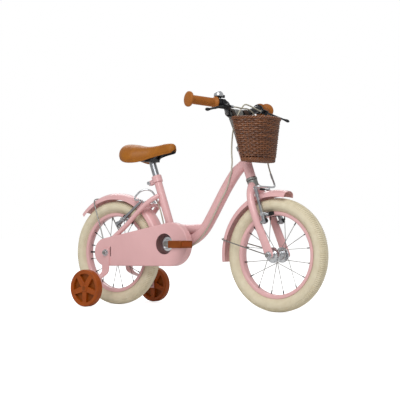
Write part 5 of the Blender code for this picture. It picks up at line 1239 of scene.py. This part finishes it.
bars = {
    "bar": .0111, "gripLength": .104, "outer": (-.025, .219, .031), "along": (-.349984, .934958, .057997),
    "reach": Vector((.836312, .33975, -.430294)),
    # the bar's middle, from its centre to where the grip's line takes over
    "middle": [(0, .023, 0), (.006, .046, .004), (.0165, .068, .0135)], "onGrip": (-.036, -.016, .03, .0982),
    # the grip: (radius, place) pairs of both flanges, and of one rib that repeats between them
    "inner": [(11.4, 0.0), (19.0, 0.0), (19.5, 0.6), (19.5, 4.2), (18.9, 5.0), (16.4, 6.6), (14.6, 8.6),
              (13.8, 10.5)],
    "rib": [(13.1, 0.0), (13.1, 0.9), (13.7, 1.3), (13.7, 3.0)], "ribs": 22, "ribFrom": 12.0, "ribPitch": 3.4,
    "flange": [(13.6, 87.6), (14.2, 89.6), (16.4, 92.0), (21.0, 94.2), (23.0, 95.2), (23.5, 96.6),
               (23.5, 100.0), (22.9, 101.4), (20.6, 102.4), (15.5, 103.6), (10.0, 104.0), (0.0, 104.0),
               (0.0, 98.6), (11.4, 98.6)],
}
# the lever and its mount: places count inward from the grip's inner end
lever = {
    "clampAt": .024, "pivotAt": .02, "pivotReach": .0275, "barrelAt": .055, "barrelReach": .016,
    "clamp": (.0114, .0155, .014), "block": (.01, .006, .0078), "cheek": (.006, .0068, .0015),
    "cheekLevel": .0063, "length": .1008, "depth": .0563,
    "blade": [(.02, 0), (.2, .1), (.5, .44), (.8, .79), (.97, .965), (1.03, 1.03)],
    "sizes": [(.005, .0035), (.0052, .0035), (.0046, .0032), (.0042, .003), (.0062, .005), (.004, .0032)],
    "adjuster": [(.0044, 0.0), (.0044, .0007), (.004, .0009), (.004, .0012)], "adjusterRibs": 8,
}


def gripAlong(side):
    return mirrored(bars["along"], side)


def onGrip(along, side):
    outer = barCentre + mirrored(bars["outer"], side)
    return outer + gripAlong(side) * (along - bars["gripLength"])


def leverAxes(side):
    along = gripAlong(side)
    reach = mirrored(bars["reach"], side)
    reach = (reach - along * along.dot(reach)).normalized()
    return along, reach, along.cross(reach).normalized()


def leverPivot(side):
    return onGrip(-lever["pivotAt"], side) + leverAxes(side)[1] * lever["pivotReach"]


def barrelEnd(side, beyond=0.0):
    # where the cable's housing leaves the lever mount
    return onGrip(-lever["barrelAt"] - beyond, side) + leverAxes(side)[1] * lever["barrelReach"]


leftHalf = [barCentre + Vector(spot) for spot in bars["middle"]]
leftHalf += [onGrip(spot, 1) for spot in bars["onGrip"]]
barWay = reflected(leftHalf) + [barCentre] + leftHalf
addPiece("barTube", sweep(smoothPath(barWay, 8), bars["bar"], 32), "blackEnamel", "black_steel", "handlebar")


def gripShape(side):
    profile = list(bars["inner"])
    for index in range(bars["ribs"]):
        start = bars["ribFrom"] + index * bars["ribPitch"]
        profile += [(radius, start + along) for radius, along in bars["rib"]]
    return spinShape(scaledPairs(profile + bars["flange"]), onGrip(0.0, side), gripAlong(side), 64)


def bracketShape(side):
    along, reach, normal = axes = leverAxes(side)
    centre = onGrip(-lever["clampAt"], side)
    pivot = leverPivot(side)
    inner, outer, width = lever["clamp"]
    parts = [ringShape(centre - along * width / 2, along, inner, outer, 0.0, width),
             boxShape(centre - along * .001 + reach * .0155, lever["block"], axes),
             rodShape(pivot - normal * .0073, pivot + normal * .0073, .0022, 16)]
    for level in (1, -1):
        spot = pivot - along * .001 - reach * .001 + normal * (level * lever["cheekLevel"])
        parts.append(boxShape(spot, lever["cheek"], axes))
    parts.append(rodShape(centre - along * .008 + reach * lever["barrelReach"], barrelEnd(side), .0042, 24))
    return join(*parts)


def leverShape(side):
    along, reach, normal = leverAxes(side)
    pivot = leverPivot(side)
    path = [pivot + along * (lever["length"] * a) + reach * (lever["depth"] * b) for a, b in lever["blade"]]
    blade = sweep(smoothPath(path, 6), evenPairs(lever["sizes"], 6), 20, normal)
    return join(blade, ringShape(pivot - normal * .0045, normal, .0024, .0055, 0.0, .009))


def adjusterShape(side):
    # the knurled screw in which the housing ends
    ribs = [(0.0, -.0004)]
    for index in range(lever["adjusterRibs"]):
        ribs += [(radius, -.0004 - along - index * .0012) for radius, along in lever["adjuster"]]
    ribs.append((0.0, ribs[-1][1]))
    return spinShape([(radius, -height) for radius, height in ribs], barrelEnd(side), gripAlong(side), 24,
                     closed=False)


for side in (1, -1):
    name = sideName(side)
    mount = "brake_lever_bracket_" + name
    addPiece("gripSleeve" + name, gripShape(side), "grip", "tan_leather", "grip_" + name, sharp=50.0)
    addPiece("leverMount" + name, bracketShape(side), "blackPlastic", "black_plastic", mount, bevel=0.8 * mm)
    addPiece("leverBlade" + name, leverShape(side), "blackPlastic", "black_plastic", "brake_lever_" + name,
             sharp=50.0)
    addPiece("cableAdjuster" + name, adjusterShape(side), "chrome", "bright_steel", mount)

bell = {
    # outlines are (radius, height over the bar's middle)
    "at": -.009, "clamp": (.0114, .0145, .009), "post": (.0118, .0215, .0037),
    "plate": [(0, .0203), (.0108, .0203), (.0113, .0208), (.0113, .0222), (.0108, .0225), (0, .0225)],
    "outside": [(.0149, .0209), (.0149, .0235), (.0145, .0268), (.013, .0308), (.0098, .0345), (.0055, .0372),
                (.0026, .0382)],
    "top": [(.0024, .0385), (0, .0385)], "edge": (.014, .0209),
    "inside": [(0, .037), (.005, .0362), (.0092, .0338), (.0122, .0304), (.0137, .0266), (.014, .0235)],
    "pivot": (.0075, .017), "strikerLength": .0125,
}
along = gripAlong(-1)
up = (zAxis - along * along.z).normalized()
foot = onGrip(bell["at"], -1)
inner, outer, width = bell["clamp"]
bellClamp = ringShape(foot - along * width / 2, along, inner, outer, 0.0, width)
low, high, radius = bell["post"]
bellPost = rodShape(foot + up * low, foot + up * high, radius, 24)
plate = spinShape(bell["plate"], foot, up, 48, closed=False)
pivot = foot + xAxis * bell["pivot"][0] + up * bell["pivot"][1]
pin = rodShape(pivot - up * .0035, pivot + up * .0044, .0014, 16)
addPiece("bellBracket", join(bellClamp, bellPost, plate, pin), "blackPlastic", "black_plastic", "bell_base",
         bevel=0.4 * mm)
profile = [bell["edge"]] + evenPairs(bell["outside"], 4) + bell["top"] + bell["inside"]
addPiece("bellShell", spinShape(profile, foot, up, 64), "chrome", "bright_steel", "bell_dome", sharp=50.0)
out = (xAxis - up * xAxis.dot(up)).normalized()
tip = pivot + out * bell["strikerLength"]
striker = join(barShape(pivot - up * .001, .0034, tip - up * .001, .002, up * .0022),
               rodShape(tip - up * .002, tip + up * .0065, .003, 20))
addPiece("bellLever", striker, "blackPlastic", "black_plastic", "bell_striker", bevel=0.4 * mm)
print("bars made")

# Woven basket on two straps

basket = {
    # back edge, front edge, half width and corner radius, at the bottom and at the rim
    "bottom": (.0285, .096, .073, .024), "top": (0.0, .118, .089, .032), "back": .032, "low": .154,
    "height": .141, "inset": 2.5 * mm, "stakes": 36, "stake": 2.4 * mm, "stakeSteps": 8,
    "rows": 19, "rowLow": .135, "rowHigh": .895, "rowSteps": 8, "weaver": 2.9 * mm, "sway": 1.6 * mm,
    "braid": 2.6 * mm, "braidSteps": 12,
    # each braid: height, inset, up and down swing, sideways swing, turns
    "braids": [(.95, .9 * mm, 3.4 * mm, 2.0 * mm, 18), (.06, 4.2 * mm, 3.4 * mm, 1.6 * mm, 14)],
    "floor": 2.0 * mm, "floorRows": 18, "floorPitch": .0038, "floorSpars": .011, "floorLift": 1.2 * mm,
}


def basketOutline(height, inset):
    # height 0 is the bottom and 1 the rim; flat at the back, half an ellipse at the front
    back, front, half, corner = [low + (high - low) * height
                                 for low, high in zip(basket["bottom"], basket["top"])]
    back += barCentre.x + basket["back"] + inset
    front += barCentre.x + basket["back"] - inset
    half -= inset
    corner -= inset
    z = barCentre.z - basket["low"] + basket["height"] * height
    widest = back + corner
    quarter = math.pi / 2

    def spot(angle, y, radiusX, radiusY):
        return Vector((widest + radiusX * math.cos(angle), y + radiusY * math.sin(angle), z))

    turns = [quarter * index / 12 for index in range(13)]
    points = [spot(math.pi + turn, corner - half, corner, corner) for turn in turns]
    points += [spot(math.pi * index / 64 - quarter, 0.0, front - widest, half) for index in range(1, 64)]
    return points + [spot(quarter + turn, half - corner, corner, corner) for turn in turns]


def outwardAt(loop, index):
    way = loop[(index + 1) % len(loop)] - loop[index - 1]
    return way.cross(zAxis).normalized()


def wovenRow(height, phase):
    # a weaver that passes outside and inside of the stakes in turn
    count = basket["rowSteps"]
    loop = evenLoop(basketOutline(height, basket["inset"]), basket["stakes"] * count)
    row = []
    for index, point in enumerate(loop):
        swing = math.sin(math.pi * index / count + phase)
        row.append(point + outwardAt(loop, index) * swing * basket["sway"])
    return row


def braidStrand(height, inset, twist, radius, turns, phase):
    # one strand winding round the rim or the foot
    steps = basket["braidSteps"]
    loop = evenLoop(basketOutline(height, inset), turns * steps)
    strand = []
    for index, point in enumerate(loop):
        angle = math.tau * index / steps + phase
        outward = outwardAt(loop, index) * math.cos(angle) * radius
        strand.append(point + outward + zAxis * math.sin(angle) * twist)
    return strand


def addWicker(name, lines, radius, sides=10, closed=False):
    addWire(name, lines, radius, "wicker", "wicker", "basket", sides, closed)


weavers = []
for index in range(basket["rows"]):
    share = (basket["rowHigh"] - basket["rowLow"]) * index / (basket["rows"] - 1)
    weavers.append(wovenRow(basket["rowLow"] + share, math.pi * index))
addWicker("basketWeavers", weavers, basket["weaver"], closed=True)
levels = []
for step in range(basket["stakeSteps"] + 1):
    height = .02 + .95 * step / basket["stakeSteps"]
    levels.append(evenLoop(basketOutline(height, basket["inset"]), basket["stakes"]))
addWicker("basketStakes", [list(stake) for stake in zip(*levels)], basket["stake"])
braids = [braidStrand(*braid, phase) for phase in (0.0, math.tau / 3, math.tau * 2 / 3)
          for braid in basket["braids"]]
addWicker("basketBraids", braids, basket["braid"], closed=True)
floorLoop = basketOutline(.02, 3.0 * mm)
floorRods = []
floorZ = floorLoop[0].z + .0012


def acrossFloor(fixed, axis):
    # where a straight line across the floor enters and leaves its outline
    other = 1 - axis
    ends = []
    for a, b in zip(floorLoop, floorLoop[1:] + floorLoop[:1]):
        if (a[axis] - fixed) * (b[axis] - fixed) < 0:
            ends.append(a.lerp(b, (fixed - a[axis]) / (b[axis] - a[axis]))[other])
    return min(ends), max(ends)


for row in range(-basket["floorRows"], basket["floorRows"] + 1):
    y = row * basket["floorPitch"]
    low, high = acrossFloor(y + .0001, 1)
    count = max(8, int((high - low) / .002))
    line = []
    for step in range(count + 1):
        x = low + (high - low) * step / count
        wave = math.pi * (x - barCentre.x) / basket["floorSpars"] + math.pi * row
        line.append(Vector((x, y, floorZ + math.sin(wave) * basket["floorLift"])))
    floorRods.append(line)
floorBack = min(point.x for point in floorLoop)
floorFront = max(point.x for point in floorLoop)
pitch = basket["floorSpars"]
for row in range(1, int((floorFront - floorBack) / pitch)):
    x = math.ceil((floorBack - barCentre.x) / pitch) * pitch + barCentre.x + (row - 1) * pitch
    if x < floorFront - .004:
        low, high = acrossFloor(x, 0)
        floorRods.append([Vector((x, low, floorZ)), Vector((x, high, floorZ))])
addWicker("basketFloor", floorRods, basket["floor"], 8)

strap = {
    # both edges' distance from the middle plane; the loop round the bar in degrees; the leg on the wall
    "edges": (.03, .046), "thick": .0016, "gap": .0022, "from": 34, "turn": 210, "steps": 28,
    "wall": .0033, "level": .013, "top": .01, "foot": .09,
}


def strapShape(side):
    # a leather band that loops round the bar and lies along the rim
    near, far = strap["edges"]
    thick = strap["thick"]
    wallX = barCentre.x + basket["back"] - strap["wall"]
    level = barCentre.z - strap["level"]
    top = level - basket["height"] * strap["top"]
    foot = level - basket["height"] * strap["foot"]
    stepY, bendX, bendZ = .023, .006, .004
    rings = []
    for y, grow in ((near, thick), (far, thick), (far, 0.0), (near, 0.0)):
        # the bar bends forward and up from its clamp, so the loop's middle does too
        middle = barCentre + Vector((bendX * (y - stepY) / stepY, 0, bendZ * (y - stepY) / stepY))
        radius = bars["bar"] + strap["gap"] + grow
        outline = []
        for index in range(strap["steps"] + 1):
            angle = math.radians(strap["from"] + strap["turn"] * index / strap["steps"])
            outline.append(middle + wheelPoint(radius, angle, side * y))
        x = wallX - thick + grow
        outline += [Vector((x, side * y, foot - grow)), Vector((x, side * y, top + grow))]
        rings.append(outline)
    rings.append(rings[0])
    return loftShape(rings, (False, False))


for side in (1, -1):
    name = sideName(side)
    addPiece("basketStrap" + name, strapShape(side), "strap", "tan_leather", "basket_strap_" + name,
             bevel=0.4 * mm)
print("basket made")

# Brake arms, their pads and the cables

brakeParts = {
    # measures that all four arms share; washer and sleeve are bore, radius and both ends
    "washer": (.0054, .0082, .009, .0102), "armBack": .0045, "lean": .012, "knee": .2,
    "cap": [(0.0, .0095), (.0058, .0095), (.0066, .0104), (.0066, .0122), (.0058, .013), (0.0, .013)],
    "coil": .0064, "coilWire": 0.5 * mm, "rimRadius": .1265,
    "pad": (.0215, .0048, .0056), "padOut": .0204, "postFrom": .0192,
    "holder": (.0052, .009, .001), "wire": 0.8 * mm, "wireHalf": .0215,
    "sleeve": (.0022, .0029, .0205, .0345),
    "socket": [(.0032, -.004), (.0046, -.004), (.0052, -.003), (.0052, .003), (.0046, .004), (.0032, .004)],
}


def brakeArm(end, side):
    body = end + "_brake_arm_" + sideName(side)
    brake = brakes[end]
    ahead = brake["ahead"]
    rise = brake["up"]
    length = brake["armLength"]
    lean = brakeParts["lean"]
    out = yAxis * side
    middle = brake["foot"] + out * brake["bossOut"] + ahead * brake["armAhead"]
    back = middle - ahead * brakeParts["armBack"]
    knee = back + (rise * length - out * lean) * brakeParts["knee"]
    tip = back + rise * length - out * lean
    inner, outer, low, high = brakeParts["washer"]
    arm = join(barShape(back, .0088, knee, .0056, ahead * .009, 20),
               barShape(knee, .0056, tip, .0042, ahead * .007, 20),
               ringShape(back, ahead, inner, outer, low, high, 32))
    addPiece(body + "_lever", arm, "satin", "black_plastic", body, bevel=1.6 * mm, segments=4)
    # return spring and its cap at the pivot
    coil = []
    for step in range(40):
        angle = math.tau * step / 10
        reach = (rise * math.cos(angle) + yAxis * math.sin(angle)) * brakeParts["coil"]
        coil.append(back - ahead * (.0012 + .0011 * step / 10) + reach)
    addWire(body + "_spring", [coil], brakeParts["coilWire"], "chrome", "black_plastic", body, 6)
    cap = spinShape(brakeParts["cap"], back, ahead, 32, closed=False)
    addPiece(body + "_cap", cap, "blackPlastic", "black_plastic", body)
    # the pad sits where the arm passes the rim
    gap = flattened(middle) - brake["axle"]
    half = gap.dot(rise)
    along = -half + math.sqrt(max(half * half - gap.length_squared + brakeParts["rimRadius"] ** 2, 0.0))
    spot = flattened(middle) + rise * along
    radial = (spot - brake["axle"]).normalized()
    tangent = radial.cross(yAxis).normalized()
    pad = boxShape(spot + out * brakeParts["padOut"], brakeParts["pad"], (tangent, yAxis, radial))
    addPiece(body + "_pad", pad, "padRubber", "black_plastic", body, bevel=1.2 * mm, segments=3)
    armY = abs(middle.y) - lean * along / length
    # post, nut and washers: near end, far end, radius and number of sides
    rows = [(brakeParts["postFrom"], armY + .0075, .003, 20), (armY + .0056, armY + .01, .0058, 6)]
    rows += [(near, near + .0016, .0072, 32) for near in (.025, armY - .006, armY + .0038)]
    post = join(*[crossRod(spot, side * near, side * far, *rest) for near, far, *rest in rows])
    addPiece(body + "_post", post, "chrome", "black_plastic", body, bevel=0.3 * mm)


def cableBridge(end):
    # the wire between both arm tips: its rubber boot, the tube's holder, the pinch bolt and two sleeves
    brake = brakes[end]
    node = end + "_brake_cable"
    left, right = [end + "_brake_arm_" + sideName(side) for side in (1, -1)]
    tip = brake["foot"] + brake["ahead"] * brake["armAhead"] + brake["up"] * (brake["armLength"] + .0012)
    half = brakeParts["wireHalf"]
    addWire(end + "BridgeWire", [[tip + yAxis * half, tip - yAxis * half]], brakeParts["wire"], "chrome",
            "grey_housing", node)
    boot = [(0.0, -.013)]
    for index in range(9):
        start = -.0125 + index * .0028
        boot += [(.0026, start), (.0036, start + .0007), (.0036, start + .0014), (.0026, start + .0021)]
    boot.append((0.0, .0132))
    boot = spinShape(boot, tip, yAxis, 20, closed=False)
    addPiece(end + "CableBoot", boot, "padRubber", "grey_housing", node)
    # the holder is a bent plate on the right arm, which the silver tube enters from outside
    middle = tip - yAxis * (brake["tipOut"] - .007)
    socket = middle - yAxis * .0085 + brake["up"] * .004
    holder = join(boxShape(middle, brakeParts["holder"], (brake["ahead"], yAxis, brake["up"])),
                  spinShape(brakeParts["socket"], socket, yAxis, 28))
    addPiece(end + "CableGuide", holder, "chrome", "black_plastic", right, bevel=0.4 * mm)
    clamp = tip + yAxis * (brake["tipOut"] - .004)
    bolt = rodShape(clamp - brake["ahead"] * .0052, clamp + brake["ahead"] * .0052, .005, 6)
    addPiece(end + "PinchBolt", bolt, "chrome", "black_plastic", left, bevel=0.4 * mm)
    # a hollow sleeve on each arm takes the wire's end, so the arms can close over it
    for side, arm in ((1, left), (-1, right)):
        sleeve = ringShape(tip, yAxis * side, *brakeParts["sleeve"], 20)
        addPiece(arm + "_sleeve", sleeve, "chrome", "black_plastic", arm)


for end in ("front", "rear"):
    for side in (1, -1):
        brakeArm(end, side)
    cableBridge(end)

cables = {
    "lead": [(.509, .02, .644), (.506, 0, .634), (.5035, -.017, .613), (.498, -.026, .588),
             (.49, -.027, .56), (.485, -.026, .525), (.4835, -.025, .49), (.4845, -.024, .462),
             (.4815, -.0228, .442)],
    "rear": [(.258, .004, .178), (.2335, .006, .177), (.216, .006, .188), (.206, .005, .21),
             (.1995, .004, .24), (.1925, .003, .27), (.1845, .002, .3), (.1745, .001, .33),
             (.165, 0, .348), (.158, -.002, .365), (.149, -.008, .378), (.136, -.018, .383),
             (.12, -.029, .377), (.108, -.033, .366)],
    "front": [(.512, -.01, .629), (.511, .024, .63), (.508, .06, .619), (.505, .084, .59),
              (.513, .092, .55), (.533, .09, .5), (.556, .074, .452), (.578, .056, .42),
              (.596, .044, .396), (.604, .034, .385), (.606, .018, .382), (.606, -.004, .382),
              (.606, -.034, .382)],
    # the bent silver tubes at the housings' ends, in the scene's own frame
    "frontTube": [(.286, -.044, .3825), (.278, -.049, .3835), (.2705, -.0462, .384), (.2685, -.041, .3842)],
    "rearTube": [(-.2165, -.035, .358), (-.213, -.04, .35), (-.203, -.044, .348), (-.1945, -.0425, .349)],
    # where the rear housing runs along the down tube: degrees below the tube's flank, at its points 3 to 9
    "clips": {3: 35, 4: 38, 5: 42, 6: 46, 7: 52, 8: 62, 9: 82}, "clipRadius": .0212,
    "radius": 2.3 * mm, "tubeRadius": 3.0 * mm, "ferruleRadius": 3.5 * mm, "steps": 6, "bendPoints": 5,
}


def fromRearAxle(points):
    # these points count forward from the rear axle and up from the floor
    return [Vector((x + rearAxle.x, y, z)) for x, y, z in points]


def fromBarrel(side, points):
    return [barrelEnd(side, .0007), barrelEnd(side, .016)] + fromRearAxle(points)


leadWay = fromBarrel(1, cables["lead"])
frontWay = fromBarrel(-1, cables["front"])
leadEnd = (leadWay[-1] - leadWay[-2]).normalized()
rearWay = [leadWay[-1] + leadEnd * .0007, leadWay[-1] + leadEnd * .014]
for index, turn in cables["clips"].items():
    below = (downPoints[index + 1] - downPoints[index - 1]).normalized().cross(yAxis).normalized()
    if below.z > 0:
        below = -below
    angle = math.radians(turn)
    spot = (below * math.sin(angle) - yAxis * math.cos(angle)) * cables["clipRadius"]
    rearWay.append(downPoints[index] + spot)
rearWay += fromRearAxle(cables["rear"])
steps = cables["steps"]
for end, way in (("front", frontWay), ("rear", rearWay)):
    # the last part of each housing ends in a bent silver tube with a ferrule
    node = end + "_brake_cable"
    route = smoothPath(way, steps)
    split = len(route) - 1 - cables["bendPoints"] * steps
    tubeEnd = [Vector(point) for point in cables[end + "Tube"]]
    bent = smoothPath([route[-2], route[-1]] + tubeEnd, steps)[steps:]
    addWire(end + "CableHousing", [route[:split + 2]], cables["radius"], "housing", "grey_housing", node, 14)
    addWire(end + "CableTube", [route[split + 1:-1] + bent], cables["tubeRadius"], "chrome", "grey_housing",
            node, 16)
    addWire(end + "CableFerrule", [route[split - 1:split + 3]], cables["ferruleRadius"], "chrome",
            "grey_housing", node, 16)
lead = addWire("leadCableHousing", [smoothPath(leadWay, steps)], cables["radius"], "housing", "grey_housing",
               "rear_brake_lead", 14, rides=False)
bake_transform(lead)
print("brakes made")

# Light, floor and camera

studio = {
    "sky": 0.52, "paper": 1.0, "glow": 0.7, "floorSize": 20.0, "floorDrop": -0.2 * mm,
    # lamps: place, size, watts; both look at the middle of the bike
    "lamps": {"keyLamp": ((0.9, -2.2, 2.6), 2.2, 58), "rearLamp": ((-1.6, 1.6, 2.4), 2.0, 24)},
    "target": (0.0, 0.0, 0.3),
    # camera: place, heading, climb and roll in degrees, focal length in pixels of a 400 pixel wide picture
    "eye": (2.2163, -2.98, 0.248), "heading": 36.34, "climb": 1.52, "roll": 0.14, "focal": 1154.3,
    "pictureWidth": 400, "sensor": 36.0,
}
white = linear("ffffff")
sceneWorld = bpy.data.worlds.new("studio")
bpy.context.scene.world = sceneWorld
sceneWorld.use_nodes = True
studioTree = sceneWorld.node_tree
sky = studioTree.nodes["Background"]
sky.inputs["Color"].default_value = white
sky.inputs["Strength"].default_value = studio["sky"]
# what the camera sees past the floor is plain white paper
paper = addNode(studioTree, "ShaderNodeBackground", {"Color": white, "Strength": studio["paper"]})
rays = addNode(studioTree, "ShaderNodeLightPath")
mixed = addNode(studioTree, "ShaderNodeMixShader", links={"Fac": rays.outputs["Is Camera Ray"]})
studioTree.links.new(sky.outputs["Background"], mixed.inputs[1])
studioTree.links.new(paper.outputs["Background"], mixed.inputs[2])
studioTree.links.new(mixed.outputs["Shader"], studioTree.nodes["World Output"].inputs["Surface"])


def floorLook():
    # white paper: bright as the background where the light falls, with the object's faint shadow on it
    look, tree, shader, place = newLook("studioPaper", 0.9)
    shader.inputs["Base Color"].default_value = linear("e6e6e6")
    grain = noiseAt(tree, place, 4 * mm, 2.0)
    addBump(tree, shader, grain, 0.02, 0.02 * mm)
    rays = addNode(tree, "ShaderNodeLightPath")
    glow = addNode(tree, "ShaderNodeMath", {1: studio["glow"]}, {0: rays.outputs["Is Camera Ray"]},
                   operation="MULTIPLY")
    shader.inputs["Emission Color"].default_value = white
    tree.links.new(glow.outputs["Value"], shader.inputs["Emission Strength"])
    return look


shape = newShape()
bmesh.ops.create_grid(shape, x_segments=2, y_segments=2, size=studio["floorSize"])
data = bpy.data.meshes.new("studioFloor")
shape.to_mesh(data)
shape.free()
data.materials.append(floorLook())
floor = bpy.data.objects.new("studioFloor", data)
floor.location = (0.0, 0.0, studio["floorDrop"])
bpy.context.scene.collection.objects.link(floor)


for name, (place, size, watts) in studio["lamps"].items():
    lamp = bpy.data.lights.new(name, "AREA")
    lamp.shape = "DISK"
    lamp.size = size
    lamp.energy = watts
    holder = bpy.data.objects.new(name, lamp)
    holder.location = place
    holder.rotation_euler = (Vector(studio["target"]) - Vector(place)).to_track_quat("-Z", "Y").to_euler()
    bpy.context.scene.collection.objects.link(holder)

view = bpy.data.cameras.new("photoView")
view.sensor_width = studio["sensor"]
view.lens = studio["focal"] / studio["pictureWidth"] * studio["sensor"]
viewer = bpy.data.objects.new("photoView", view)
heading = math.radians(studio["heading"])
climb = math.radians(studio["climb"])
looking = Vector((-math.sin(heading) * math.cos(climb), math.cos(heading) * math.cos(climb), math.sin(climb)))
viewer.location = studio["eye"]
turn = looking.to_track_quat("-Z", "Y").to_matrix().to_4x4()
roll = Matrix.Rotation(math.radians(studio["roll"]), 4, "Z")
viewer.matrix_world = Matrix.Translation(viewer.location) @ turn @ roll
bpy.context.scene.collection.objects.link(viewer)
bpy.context.scene.camera = viewer
bpy.context.scene.view_settings.view_transform = "Standard"
